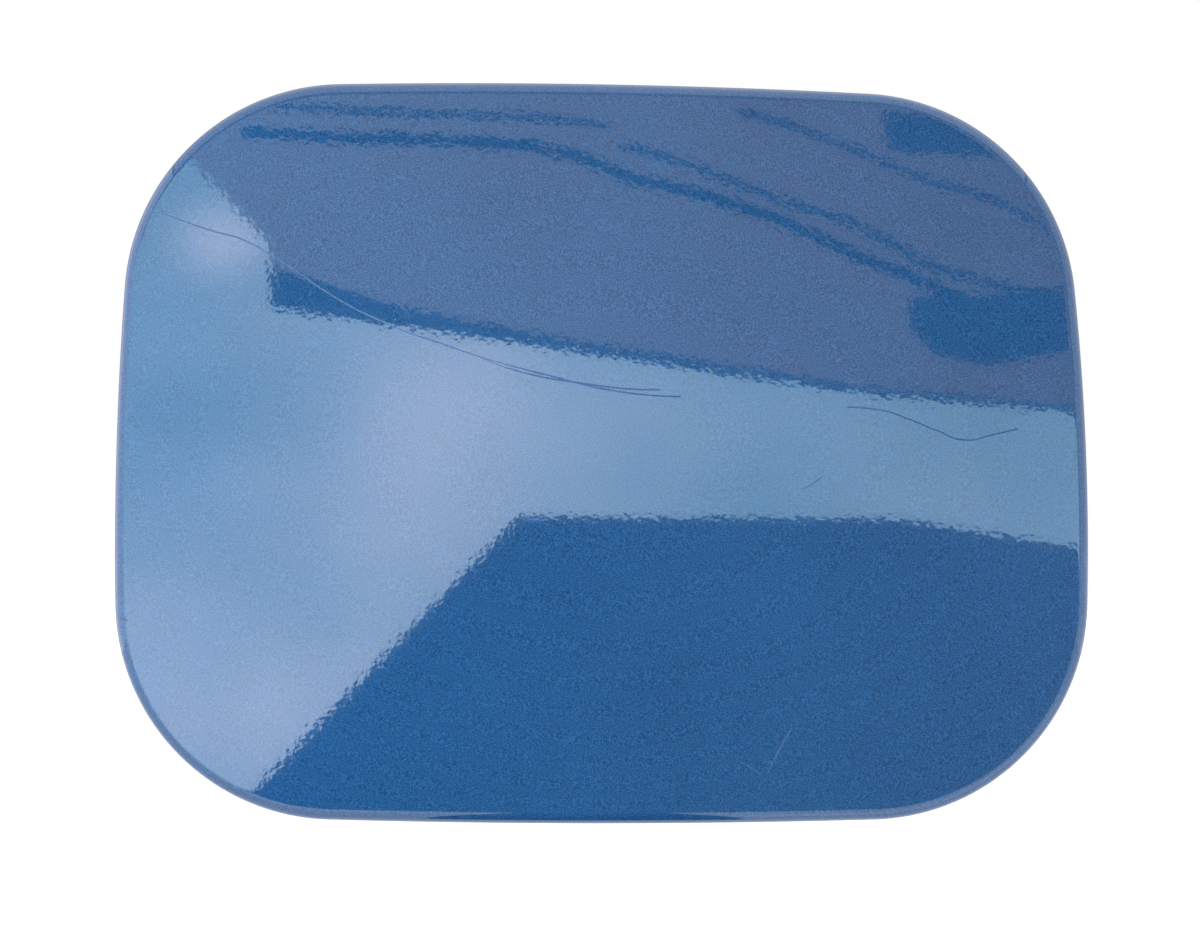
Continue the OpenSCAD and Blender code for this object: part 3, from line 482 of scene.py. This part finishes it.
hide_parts("inner_panel")

# ---- Mastic pads ----
# Four soft pads laid in the dimples before the hem is closed. They stick to the skin and keep it
# from drumming. Baked dark grey mastic, matt and slightly pitted.
PIT_MM, PIT_DEPTH = 0.9, 0.08
MASTIC_DARK, MASTIC_PALE = "#3A3C3E", "#56585A"
mastic, tree, shader, place = new_finish("baked_mastic", {"Roughness": 0.85})
pits = add(tree, "TexNoise", {"Scale": 1 / (PIT_MM * MM), "Detail": 4.0}, {"Vector": place})
tint = add(tree, "Mix", {"data_type": "RGBA", 6: lin(MASTIC_DARK), 7: lin(MASTIC_PALE)},
           {0: pits.outputs[0]})
pitted = add(tree, "Bump", {"Strength": 1.0, "Distance": PIT_DEPTH * MM},
             {"Height": pits.outputs[0]})
tree.links.new(tint.outputs[2], shader.inputs["Base Color"])
tree.links.new(pitted.outputs[0], shader.inputs["Normal"])
FOUR_CORNERS = ("upper_left", "lower_left", "upper_right", "lower_right")
for corner in FOUR_CORNERS:
    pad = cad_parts["mastic_pad_" + corner]
    pad.data.materials.clear()
    pad.data.materials.append(mastic)

# ---- Bump stops ----
# Four rubber buttons whose barbed stems snap into the panel and cushion the door against the
# pocket. Moulded black rubber with a faint grey bloom, darkest where it has been rubbed.
STOP_EASE = 0.35
# Neighbouring facets are merged below the first angle, and edges are eased above the second
MERGE_DEGREES, EASE_DEGREES = 0.6, 40


def eased_copy(node, name, ease, body, material, angle=35):
    """A CAD node's own shape, facets merged, with its edges eased as tumbling leaves them."""
    bpy.ops.object.select_all(action="DESELECT")
    piece = bpy.data.objects.new(name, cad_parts[node].data.copy())
    piece.data.name = name
    bpy.context.scene.collection.objects.link(piece)
    piece.select_set(True)
    bpy.context.view_layer.objects.active = piece
    bpy.ops.object.mode_set(mode="EDIT")
    bpy.ops.mesh.select_all(action="SELECT")
    bpy.ops.mesh.remove_doubles(threshold=1e-6)
    bpy.ops.mesh.dissolve_limited(angle_limit=radians(MERGE_DEGREES))
    bpy.ops.object.mode_set(mode="OBJECT")
    bevel = piece.modifiers.new("eased", "BEVEL")
    bevel.width, bevel.segments, bevel.limit_method = ease * MM, 2, "ANGLE"
    bevel.angle_limit = radians(EASE_DEGREES)
    bevel.use_clamp_overlap = True
    apply_all(piece)
    bpy.ops.object.mode_set(mode="EDIT")
    finish_piece(piece, material, angle)
    flat = piece.modifiers.new("flat_faces", "WEIGHTED_NORMAL")
    flat.keep_sharp = True
    apply_all(piece)
    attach(piece, body)
    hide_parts(node)


# The mould's own grain is finer; it is drawn as coarse as it needs to show
BLOOM_MM, MOULD_GRAIN_MM, MOULD_GRAIN_HEIGHT = 4, 0.35, 0.012
RUBBER_BLACK, RUBBER_BLOOM = "#141416", "#2E2E31"
rubber, tree, shader, place = new_finish("moulded_black_rubber", {
    "Roughness": 0.72, "IOR": 1.5, "Sheen Weight": 0.15, "Sheen Roughness": 0.5,
})
bloom = add(tree, "TexNoise", {"Scale": 1 / (BLOOM_MM * MM), "Detail": 4.0}, {"Vector": place})
tint = add(tree, "Mix", {"data_type": "RGBA", 6: lin(RUBBER_BLACK), 7: lin(RUBBER_BLOOM)},
           {0: bloom.outputs[0]})
grain = add(tree, "TexNoise", {"Scale": 1 / (MOULD_GRAIN_MM * MM), "Detail": 2.0},
            {"Vector": place})
moulded = add(tree, "Bump", {"Strength": 1.0, "Distance": MOULD_GRAIN_HEIGHT * MM},
              {"Height": grain.outputs[0]})
rubbed = add(tree, "MapRange", {"To Min": 0.6, "To Max": 0.85}, {"Value": bloom.outputs[0]})
tree.links.new(tint.outputs[2], shader.inputs["Base Color"])
tree.links.new(rubbed.outputs[0], shader.inputs["Roughness"])
tree.links.new(moulded.outputs[0], shader.inputs["Normal"])
for corner in FOUR_CORNERS:
    eased_copy("bump_stop_" + corner, "rubber_stop_" + corner, STOP_EASE, "door",
               rubber, 50)

# ---- Hinge arm ----
# A channel pressed from 1.6 mm steel, spot-welded by its web to the panel, with an eye in each
# flange for the pin and a heel beside it that stops the swing. Black dip coat over phosphate.
PRESSED_EASE = 0.22
WELD_PLACES = [(-54, 13), (-54, -13), (-28, 13), (-28, -13)]
WELD_R, WELD_DEPTH = 2.6, 0.15
COAT_DRIFT_MM, SPECK_MM, SPECK_HEIGHT = 7, 0.6, 0.006
COAT_BLACK, COAT_WORN, DUST_GREY = "#16181B", "#24272B", "#5B5C5C"
dip_coat, tree, shader, place = new_finish("black_dip_coat", {
    "Roughness": 0.36, "Coat Weight": 0.3, "Coat Roughness": 0.2,
})
drift = add(tree, "TexNoise", {"Scale": 1 / (COAT_DRIFT_MM * MM), "Detail": 4.0},
            {"Vector": place})
specks = add(tree, "TexNoise", {"Scale": 1 / (SPECK_MM * MM), "Detail": 3.0}, {"Vector": place})
dust = add(tree, "MapRange", {"From Min": 0.66, "From Max": 0.78, "To Max": 0.5},
           {"Value": specks.outputs[0]})
tint = add(tree, "Mix", {"data_type": "RGBA", 6: lin(COAT_BLACK), 7: lin(COAT_WORN)},
           {0: drift.outputs[0]})
dusty = add(tree, "Mix", {"data_type": "RGBA", 7: lin(DUST_GREY)},
            {0: dust.outputs[0], 6: tint.outputs[2]})
satin = add(tree, "MapRange", {"To Min": 0.26, "To Max": 0.5}, {"Value": drift.outputs[0]})
coat_bump = add(tree, "Bump", {"Strength": 1.0, "Distance": SPECK_HEIGHT * MM},
                {"Height": specks.outputs[0]})
# Each weld has left a shallow round dent in the web
axes = add(tree, "SeparateXYZ", {}, {"Vector": place})
flat_place = add(tree, "CombineXYZ", {}, {"X": axes.outputs["X"], "Z": axes.outputs["Z"]})
welds = None
for x, z in WELD_PLACES:
    spot = MM * Vector((x + CREST.x, 0, z))
    away = add(tree, "VectorMath", {"operation": "DISTANCE", 1: spot},
               {0: flat_place.outputs[0]})
    dent = add(tree, "MapRange", {
        "interpolation_type": "SMOOTHSTEP", "From Min": 0.7 * WELD_R * MM,
        "From Max": WELD_R * MM,
    }, {"Value": away.outputs["Value"]})
    if welds is not None:
        dent = add(tree, "Math", {"operation": "MINIMUM"},
                   {0: welds.outputs[0], 1: dent.outputs[0]})
    welds = dent
welded = add(tree, "Bump", {"Strength": 1.0, "Distance": WELD_DEPTH * MM},
             {"Height": welds.outputs[0], "Normal": coat_bump.outputs[0]})
tree.links.new(dusty.outputs[2], shader.inputs["Base Color"])
tree.links.new(satin.outputs[0], shader.inputs["Roughness"])
tree.links.new(welded.outputs[0], shader.inputs["Normal"])
eased_copy("hinge_arm", "pressed_hinge_arm", PRESSED_EASE, "door", dip_coat)

# ---- Arm bushes ----
# Two flanged bushes pressed into the eyes, which the pin turns in. Natural nylon, creamy white,
# slightly translucent and waxy.
BUSH_EASE = 0.15
WAX_MM, WAX_HEIGHT, GLOW_DEPTH = 1.5, 0.006, 0.5
NYLON_CREAM, NYLON_PALE = "#DDD3B6", "#EBE5D2"
nylon, tree, shader, place = new_finish("natural_nylon", {
    "Roughness": 0.42, "IOR": 1.53, "Subsurface Weight": 0.15,
    "Subsurface Scale": GLOW_DEPTH * MM,
})
waxy = add(tree, "TexNoise", {"Scale": 1 / (WAX_MM * MM), "Detail": 3.0}, {"Vector": place})
tint = add(tree, "Mix", {"data_type": "RGBA", 6: lin(NYLON_CREAM), 7: lin(NYLON_PALE)},
           {0: waxy.outputs[0]})
moulded = add(tree, "Bump", {"Strength": 1.0, "Distance": WAX_HEIGHT * MM},
              {"Height": waxy.outputs[0]})
tree.links.new(tint.outputs[2], shader.inputs["Base Color"])
tree.links.new(moulded.outputs[0], shader.inputs["Normal"])
for side in ("upper", "lower"):
    eased_copy("arm_bush_" + side, "nylon_bush_" + side, BUSH_EASE, "door", nylon, 50)

# ---- Bracket ----
# The half that stays on the car: two ears and a base folded from 1.6 mm plate, a foot with two
# bolt holes, and a tab on each ear for the arm's heel. Bright zinc plate gone slightly cloudy.
# The lines left by rolling are a few hundredths wide; they are drawn as wide as they need to show
CLOUDY_MM, ROLL_LINE_MM, ROLL_LINE_L, ROLL_LINE_HEIGHT = 6, 0.25, 4, 0.004
ZINC_DULL, ZINC_BRIGHT = "#8C9091", "#B6B9B4"
zinc, tree, shader, place = new_finish("bright_zinc_plate", {"Metallic": 1.0, "Roughness": 0.34})
cloudy = add(tree, "TexNoise", {
    "Scale": 1 / (CLOUDY_MM * MM), "Detail": 5.0, "Roughness": 0.6,
}, {"Vector": place})
rolled = add(tree, "Mapping", {
    "Scale": (1 / (ROLL_LINE_MM * MM), 1 / (ROLL_LINE_MM * MM), 1 / (ROLL_LINE_L * MM)),
}, {"Vector": place})
rolling = add(tree, "TexNoise", {"Scale": 1.0, "Detail": 3.0}, {"Vector": rolled.outputs[0]})
tint = add(tree, "Mix", {"data_type": "RGBA", 6: lin(ZINC_DULL), 7: lin(ZINC_BRIGHT)},
           {0: cloudy.outputs[0]})
satin = add(tree, "MapRange", {"From Min": 0.3, "From Max": 0.7, "To Min": 0.26, "To Max": 0.48},
            {"Value": cloudy.outputs[0]})
lined = add(tree, "Bump", {"Strength": 1.0, "Distance": ROLL_LINE_HEIGHT * MM},
            {"Height": rolling.outputs[0]})
tree.links.new(tint.outputs[2], shader.inputs["Base Color"])
tree.links.new(satin.outputs[0], shader.inputs["Roughness"])
tree.links.new(lined.outputs[0], shader.inputs["Normal"])
eased_copy("hinge_bracket", "folded_bracket", PRESSED_EASE, "bracket", zinc)

# ---- Pin and clip ----
# A headed steel pin, turned and plated, runs through ears and bushes, and a spring clip snapped
# into the groove at its lower end keeps it there.
PIN_EASE, CLIP_EASE = 0.15, 0.12
# Turning marks lie pi / 10 of this wave apart, 0.38 mm: coarser than real, so that they show
TURNED_WAVE_MM, TURNED_HEIGHT, STAIN_MM = 1.2, 0.004, 2
STEEL_GREY, STEEL_BRIGHT = "#94979A", "#B4B7BA"
turned, tree, shader, place = new_finish("turned_steel", {"Metallic": 1.0, "Roughness": 0.3})
rings = add(tree, "TexWave", {
    "wave_type": "BANDS", "bands_direction": "Z", "Scale": 1 / (TURNED_WAVE_MM * MM),
    "Distortion": 0.6, "Detail": 1.0,
}, {"Vector": place})
stain = add(tree, "TexNoise", {"Scale": 1 / (STAIN_MM * MM), "Detail": 3.0}, {"Vector": place})
tint = add(tree, "Mix", {"data_type": "RGBA", 6: lin(STEEL_GREY), 7: lin(STEEL_BRIGHT)},
           {0: stain.outputs[0]})
cut = add(tree, "Bump", {"Strength": 1.0, "Distance": TURNED_HEIGHT * MM},
          {"Height": rings.outputs[0]})
tree.links.new(tint.outputs[2], shader.inputs["Base Color"])
tree.links.new(cut.outputs[0], shader.inputs["Normal"])
eased_copy("hinge_pin", "headed_pin", PIN_EASE, "bracket", turned, 50)

# Spring steel, hardened and oiled: dark blue-grey, darker and glossier where the oil lies
OIL_MM, OIL_HEIGHT = 1.4, 0.005
BLUED_DARK, BLUED_PALE = "#2D3036", "#565A61"
blued, tree, shader, place = new_finish("oiled_spring_steel", {
    "Metallic": 0.9, "Roughness": 0.34,
})
oil = add(tree, "TexNoise", {"Scale": 1 / (OIL_MM * MM), "Detail": 4.0}, {"Vector": place})
tint = add(tree, "Mix", {"data_type": "RGBA", 6: lin(BLUED_DARK), 7: lin(BLUED_PALE)},
           {0: oil.outputs[0]})
film = add(tree, "MapRange", {"To Min": 0.22, "To Max": 0.5}, {"Value": oil.outputs[0]})
uneven = add(tree, "Bump", {"Strength": 1.0, "Distance": OIL_HEIGHT * MM},
             {"Height": oil.outputs[0]})
tree.links.new(tint.outputs[2], shader.inputs["Base Color"])
tree.links.new(film.outputs[0], shader.inputs["Roughness"])
tree.links.new(uneven.outputs[0], shader.inputs["Normal"])
eased_copy("pin_clip", "snap_clip", CLIP_EASE, "bracket", blued)

# ---- Torsion spring ----
# Nearly nine turns of 1.6 mm wire round the pin, wound between the arm's flanges. One end is
# hooked through the bracket's base and the other through the upper flange: it draws the door shut.
WIRE_R, COIL_R, COIL_TURNS, COIL_PITCH = 0.8, 4.4, 8, 2
PIN = Vector((-73, 12))
# Degrees round the pin at which the wire leaves the coil, below and then above
COIL_FROM = -15
COIL_TO = 74 - 360 * (COIL_TURNS + 1)
COIL_HALF = (COIL_FROM - COIL_TO) / 360 * COIL_PITCH / 2
ARM_HALF, ARM_T, ARM_CLEAR = 20.8, 1.6, 0.9
MOUNT_DEPTH, BASE_FRONT, TIP_SHORT = 32, 30.4, 0.4
BASE_BEND_CUT, ARM_BEND_CUT, BEND_STEPS, STEPS_A_TURN = 2, 3, 8, 40


def on_coil(turn):
    """A point of the coil's wire at an angle in degrees, seen along the pin."""
    return PIN + COIL_R * Vector((cos(radians(turn)), sin(radians(turn))))


def rounded(a, b, c, cut):
    """A bend at b on the way from a to c, cut back by a length on each side."""
    before, after = b + (a - b).normalized() * cut, b + (c - b).normalized() * cut
    return [before * (1 - t) ** 2 + 2 * b * t * (1 - t) + after * t * t
            for t in [k / BEND_STEPS for k in range(BEND_STEPS + 1)]]


start, end = on_coil(COIL_FROM), on_coil(COIL_TO)
base_hook_y = BASE_FRONT - BASE_BEND_CUT
base_hook_x = start.x + (base_hook_y - start.y) / tan(radians(COIL_FROM + 90))
arm_hook_y = PAN_BACK + ARM_T + WIRE_R + ARM_CLEAR
arm_hook_x = end.x + (end.y - arm_hook_y) / tan(radians(90 - COIL_TO))
base_tip = Vector((base_hook_x, MOUNT_DEPTH - TIP_SHORT, -COIL_HALF))
arm_tip = Vector((arm_hook_x, arm_hook_y, ARM_HALF + WIRE_R))
route = [base_tip]
route += rounded(base_tip, Vector((base_hook_x, base_hook_y, -COIL_HALF)),
                 Vector((start.x, start.y, -COIL_HALF)), BASE_BEND_CUT)
COIL_STEPS = STEPS_A_TURN * (COIL_TURNS + 1)
for k in range(COIL_STEPS + 1):
    x, y = on_coil(COIL_FROM + (COIL_TO - COIL_FROM) * k / COIL_STEPS)
    route.append(Vector((x, y, COIL_HALF * (2 * k / COIL_STEPS - 1))))
route += rounded(Vector((end.x, end.y, COIL_HALF)),
                 Vector((arm_hook_x, arm_hook_y, COIL_HALF)), arm_tip, ARM_BEND_CUT)
route.append(arm_tip)
bpy.ops.object.select_all(action="DESELECT")
bpy.ops.curve.primitive_nurbs_path_add()
spring = bpy.context.object
spring.name = "coiled_wire_spring"
wire = spring.data
wire.splines.clear()
line = wire.splines.new("POLY")
line.points.add(len(route) - 1)
for point, p in zip(line.points, route):
    point.co = (*(MM * (p + CREST)), 1)
wire.dimensions, wire.bevel_depth, wire.bevel_resolution = "3D", WIRE_R * MM, 4
wire.use_fill_caps = True
bpy.ops.object.convert(target="MESH")
spring = bpy.context.object
spring.data.name = spring.name
bpy.ops.object.mode_set(mode="EDIT")
finish_piece(spring, blued, 50)
COIL_ENDS = 7.9                 # the straight ends lie outside these and keep to their own side
pin_line = Vector((PIN.x, PIN.y, 0)) + CREST
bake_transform(spring, "bracket", "door", start=MM * (pin_line - Vector((0, 0, COIL_ENDS))),
         end=MM * (pin_line + Vector((0, 0, COIL_ENDS))))
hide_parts("torsion_spring")

# ---- Striker ----
# The slotted tongue that the pocket's lock bolt catches, bent from the same zinc-plated plate as
# the bracket and held to the panel by two blind rivets of aluminium.
eased_copy("latch_striker", "slotted_striker", PRESSED_EASE, "door", zinc)

RIVET_EASE = 0.1
SCUFF_MM, SCUFF_HEIGHT = 0.8, 0.01
ALUMINIUM_DULL, ALUMINIUM_BRIGHT = "#B2B5B8", "#CDD0D3"
aluminium, tree, shader, place = new_finish("blind_rivet_aluminium", {
    "Metallic": 1.0, "Roughness": 0.38,
})
scuff = add(tree, "TexNoise", {"Scale": 1 / (SCUFF_MM * MM), "Detail": 4.0}, {"Vector": place})
tint = add(tree, "Mix", {
    "data_type": "RGBA", 6: lin(ALUMINIUM_DULL), 7: lin(ALUMINIUM_BRIGHT),
}, {0: scuff.outputs[0]})
set_marks = add(tree, "Bump", {"Strength": 1.0, "Distance": SCUFF_HEIGHT * MM},
                {"Height": scuff.outputs[0]})
tree.links.new(tint.outputs[2], shader.inputs["Base Color"])
tree.links.new(set_marks.outputs[0], shader.inputs["Normal"])
for side in ("upper", "lower"):
    eased_copy("striker_rivet_" + side, "set_rivet_" + side, RIVET_EASE, "door",
               aluminium, 50)

# ---- Cap holder ----
# The cradle that the fuel cap hangs in while the car is filled: a ribbed moulding of black
# polypropylene with a fine eroded grain, fixed by two pan-head screws plated black.
HOLDER_EASE, SCREW_EASE = 0.3, 0.1
# The eroded grain is about 0.1 mm; it is drawn as coarse as it needs to show
ERODED_MM, ERODED_HEIGHT, FLOW_MM = 0.4, 0.02, 12
PLASTIC_BLACK, PLASTIC_GREY = "#1A1B1E", "#2B2C30"
polypropylene, tree, shader, place = new_finish("moulded_polypropylene", {
    "Roughness": 0.52, "IOR": 1.49,
})
eroded = add(tree, "TexNoise", {"Scale": 1 / (ERODED_MM * MM), "Detail": 3.0},
             {"Vector": place})
flow = add(tree, "TexNoise", {"Scale": 1 / (FLOW_MM * MM), "Detail": 2.0}, {"Vector": place})
tint = add(tree, "Mix", {"data_type": "RGBA", 6: lin(PLASTIC_BLACK), 7: lin(PLASTIC_GREY)},
           {0: flow.outputs[0]})
satin = add(tree, "MapRange", {"To Min": 0.42, "To Max": 0.64}, {"Value": flow.outputs[0]})
leather = add(tree, "Bump", {"Strength": 1.0, "Distance": ERODED_HEIGHT * MM},
              {"Height": eroded.outputs[0]})
tree.links.new(tint.outputs[2], shader.inputs["Base Color"])
tree.links.new(satin.outputs[0], shader.inputs["Roughness"])
tree.links.new(leather.outputs[0], shader.inputs["Normal"])
eased_copy("cap_holder", "moulded_cap_cradle", HOLDER_EASE, "door",
           polypropylene)

SHEEN_MM, SHEEN_HEIGHT = 1.1, 0.006
PLATE_BLACK, PLATE_SHEEN = "#232427", "#3E3F44"
black_zinc, tree, shader, place = new_finish("black_zinc_plate", {
    "Metallic": 0.8, "Roughness": 0.4,
})
sheen = add(tree, "TexNoise", {"Scale": 1 / (SHEEN_MM * MM), "Detail": 3.0}, {"Vector": place})
tint = add(tree, "Mix", {"data_type": "RGBA", 6: lin(PLATE_BLACK), 7: lin(PLATE_SHEEN)},
           {0: sheen.outputs[0]})
plated = add(tree, "Bump", {"Strength": 1.0, "Distance": SHEEN_HEIGHT * MM},
             {"Height": sheen.outputs[0]})
tree.links.new(tint.outputs[2], shader.inputs["Base Color"])
tree.links.new(plated.outputs[0], shader.inputs["Normal"])
for side in ("left", "right"):
    eased_copy("cap_holder_screw_" + side, "pan_head_screw_" + side, SCREW_EASE, "door",
               black_zinc, 50)

# ---- Studio ----
# The part hangs over a plain white floor in a white room. In front of it, out of the camera's
# sight, lit screens stand for what its paint mirrors: a sky with soft clouds, a wall under eaves
# with beams and two dim panes, and dark ground.
FLOOR_Z, FLOOR_W = -260, 12000
SCREEN_Y = -800
HALF_VIEW = 257                 # how far to each side a screen's light changes
CLOUD_DRIFT_MM = 1000 / 9
bpy.context.scene.view_settings.view_transform = "Standard"


def shown_apart(tree, light, shown):
    """One shader for the light that falls on the part, and another where it is looked at."""
    rays = add(tree, "LightPath", {})
    direct = add(tree, "Math", {"operation": "MAXIMUM"},
                 {0: rays.outputs["Is Camera Ray"], 1: rays.outputs["Is Glossy Ray"]})
    looked_at = add(tree, "Math", {"operation": "MAXIMUM"},
                    {0: direct.outputs[0], 1: rays.outputs["Is Transmission Ray"]})
    return add(tree, "MixShader", {},
               {0: looked_at.outputs[0], 1: light.outputs[0], 2: shown.outputs[0]})


bpy.ops.object.select_all(action="DESELECT")
bpy.ops.mesh.primitive_plane_add(size=FLOOR_W * MM, location=(CREST.x * MM, 0, FLOOR_Z * MM))
floor = bpy.context.object
floor.name = "floor"
white_card = bpy.data.materials.new("white_paper")
white_card.use_nodes = True
tree = white_card.node_tree
tree.nodes.clear()
paper = add(tree, "BsdfDiffuse", {"Color": lin("#F2F2F2")})
glow = add(tree, "Emission", {"Color": (1, 1, 1, 1), "Strength": 0.8})
lifted = add(tree, "AddShader", {}, {0: paper.outputs[0], 1: glow.outputs[0]})
add(tree, "OutputMaterial", {}, {"Surface": shown_apart(tree, paper, lifted).outputs[0]})
floor.data.materials.append(white_card)

world = bpy.data.worlds.new("white_room")
bpy.context.scene.world = world
world.use_nodes = True
tree = world.node_tree
tree.nodes.clear()
room = add(tree, "Background", {"Color": (1, 1, 1, 1), "Strength": 0.45})
wall = add(tree, "Background", {"Color": (1, 1, 1, 1), "Strength": 1.0})
add(tree, "OutputWorld", {}, {"Surface": shown_apart(tree, room, wall).outputs[0]})


def screen(name, corners, left, right, clouds=None, nearer=0):
    """A flat lit screen with its corners as [x, z] round the door's centre, facing the door.
    Its light runs from one [strength, colour] on the left to another on the right, or drifts
    between them as clouds, each given as [x, z, radius]."""
    bpy.ops.object.select_all(action="DESELECT")
    bpy.ops.mesh.primitive_circle_add(vertices=len(corners), radius=0.5, fill_type="NGON")
    made = bpy.context.object
    made.name = name
    for v, (x, z) in zip(made.data.vertices, corners):
        v.co = MM * Vector((x + CREST.x, SCREEN_Y + nearer, z))
    lit = bpy.data.materials.new(name)
    lit.use_nodes = True
    tree = lit.node_tree
    tree.nodes.clear()
    place = add(tree, "TexCoord", {}).outputs["Object"]
    across = add(tree, "SeparateXYZ", {}, {"Vector": place})
    span = add(tree, "MapRange", {
        "From Min": (CREST.x - HALF_VIEW) * MM, "From Max": (CREST.x + HALF_VIEW) * MM,
    }, {"Value": across.outputs["X"]})
    if clouds:
        drift = add(tree, "TexNoise", {"Scale": 1 / (CLOUD_DRIFT_MM * MM), "Detail": 2.0},
                    {"Vector": place})
        cover = add(tree, "MapRange", {"From Min": 0.3, "From Max": 0.7, "To Max": 0.35},
                    {"Value": drift.outputs[0]})
        for x, z, r in clouds:
            away = add(tree, "VectorMath", {
                "operation": "DISTANCE", 1: MM * Vector((x + CREST.x, SCREEN_Y, z)),
            }, {0: place})
            billow = add(tree, "MapRange", {
                "interpolation_type": "SMOOTHSTEP", "From Max": r * MM, "To Min": 0.8,
                "To Max": 0.0,
            }, {"Value": away.outputs["Value"]})
            cover = add(tree, "Math", {"operation": "ADD"},
                        {0: cover.outputs[0], 1: billow.outputs[0]})
        span = cover
    level = add(tree, "MapRange", {"To Min": left[0], "To Max": right[0]},
                {"Value": span.outputs[0]})
    tint = add(tree, "Mix", {"data_type": "RGBA", 6: lin(left[1]), 7: lin(right[1])},
               {0: span.outputs[0]})
    cloth = add(tree, "Emission", {}, {"Color": tint.outputs[2], "Strength": level.outputs[0]})
    add(tree, "OutputMaterial", {}, {"Surface": cloth.outputs[0]})
    made.data.materials.append(lit)
    made.visible_camera = made.visible_shadow = False
    return made


screen("sky_screen", [
    (-420, -255), (-205, -255), (-185, -229), (-42, -40), (153, -42), (257, -63), (360, -84),
    (360, 20), (250, 28), (135, 40), (-170, 97), (-172, 141), (-212, 195), (-300, 255),
    (-420, 255),
], (4.6, "#C8F2FC"), (7.8, "#F0F8FF"), [(-70, 15, 150), (-208, -165, 210), (-195, 145, 45)])
screen("wall_screen", [
    (-170, 97), (135, 40), (250, 28), (360, 20), (360, 255), (-300, 255), (-212, 195),
    (-172, 141),
], (2.4, "#EEF4F4"), (1.3, "#FFE8D0"))
# The eaves stand a little nearer than the wall, and what is under them nearer still
DIM, BEAM_SHADE = (0.3, "#FFFFFF"), (0.12, "#FFFFFF")
screen("eaves_screen", [
    (-170, 97), (135, 40), (250, 28), (360, 20), (360, 24), (250, 32), (135, 45), (-21, 77),
    (-100, 96), (-170, 125),
], DIM, DIM, nearer=2)
# Beams and a pair of dim panes under the eaves, each beam with its width
BEAMS = [
    (7.5, [(-187, 216), (-136, 211), (-86, 209), (-36, 205), (-10, 197), (15, 183), (50, 173),
           (91, 156), (131, 132), (162, 117), (192, 101)]),
    (5, [(10, 205), (40, 195), (91, 169), (131, 153), (172, 124), (217, 108), (242, 108)]),
    (4, [(71, 229), (101, 218), (141, 198), (172, 181), (207, 169), (237, 147)]),
    (4, [(-172, 233), (-111, 228), (-60, 226), (-20, 223), (5, 218)]),
]
for k, (width, line) in enumerate(BEAMS):
    corners = [(x, z + width / 2) for x, z in line]
    corners += [(x, z - width / 2) for x, z in line[::-1]]
    screen("beam_screen_" + str(k), corners, BEAM_SHADE, BEAM_SHADE, nearer=3)
for k, corners in enumerate([
    [(159, 105), (242, 108), (245, 69), (202, 59), (172, 66), (159, 82)],
    [(147, 228), (182, 228), (217, 198), (149, 202)],
]):
    screen("pane_screen_" + str(k), corners, DIM, DIM, nearer=3)
screen("dark_screen", [
    (-205, -255), (360, -255), (360, -84), (257, -63), (153, -42), (-42, -40), (-185, -229),
], (0.08, "#FFFFFF"), (0.55, "#FFF0E0"))
# Strips that only reflections show, for the rolled edge. Two lie flat just over the floor, each
# given by its ends across and in depth; two stand at the sides of the sky, given by ends and top.
STRIP_Z, SIDE_FOOT = -250, -245
for name, start, end, near, far, level in (
    ("dark_flag", -45, 36, -40, -900, 0.15), ("bright_flag", 40, 450, -150, -320, 3.4),
):
    light = (level, "#F0F4F4")
    strip = screen(name, [(start, 0), (end, 0), (end, 1), (start, 1)], light, light)
    for v, y in zip(strip.data.vertices, (near, near, far, far)):
        v.co.y, v.co.z = y * MM, STRIP_Z * MM
    strip.visible_diffuse = False
for name, start, end, top, level in (
    ("left_sky", -700, -425, 200, 4.5), ("right_sky", 365, 600, 60, 2.0),
):
    light = (level, "#E0F4F8")
    strip = screen(name, [(start, SIDE_FOOT), (end, SIDE_FOOT), (end, top), (start, top)],
                   light, light)
    strip.visible_diffuse = False


def softbox(name, place, size, facing, radiance):
    """A large soft lamp whose cloth has the given brightness, turned to face the door."""
    lamp = bpy.data.lights.new(name, "AREA")
    lamp.shape, lamp.size, lamp.size_y = "RECTANGLE", size[0] * MM, size[1] * MM
    lamp.energy = radiance * pi * lamp.size * lamp.size_y
    made = bpy.data.objects.new(name, lamp)
    bpy.context.scene.collection.objects.link(made)
    made.location = MM * (Vector(place) + CREST)
    made.rotation_euler = facing
    made.visible_camera = False


softbox("top_softbox", (0, -400, 800), (2000, 2000), (0, 0, 0), 1.4)
softbox("left_softbox", (-900, -400, 100), (1200, 2000), (0, -pi / 2, 0), 2.3)
softbox("right_softbox", (900, -400, 100), (1200, 2000), (0, pi / 2, 0), 1.1)

# The camera looks straight at the door, nearly at its crest, through a long lens
SENSOR_W, LENS = 36, 115.6
CAMERA_PLACE = Vector((-0.24, -650, -1.87))
camera_data = bpy.data.cameras.new("camera")
camera = bpy.data.objects.new("camera", camera_data)
bpy.context.scene.collection.objects.link(camera)
camera_data.sensor_width, camera_data.lens = SENSOR_W, LENS
camera.location = MM * (CREST + CAMERA_PLACE)
camera.rotation_euler = (pi / 2, 0, 0)
bpy.context.scene.camera = camera
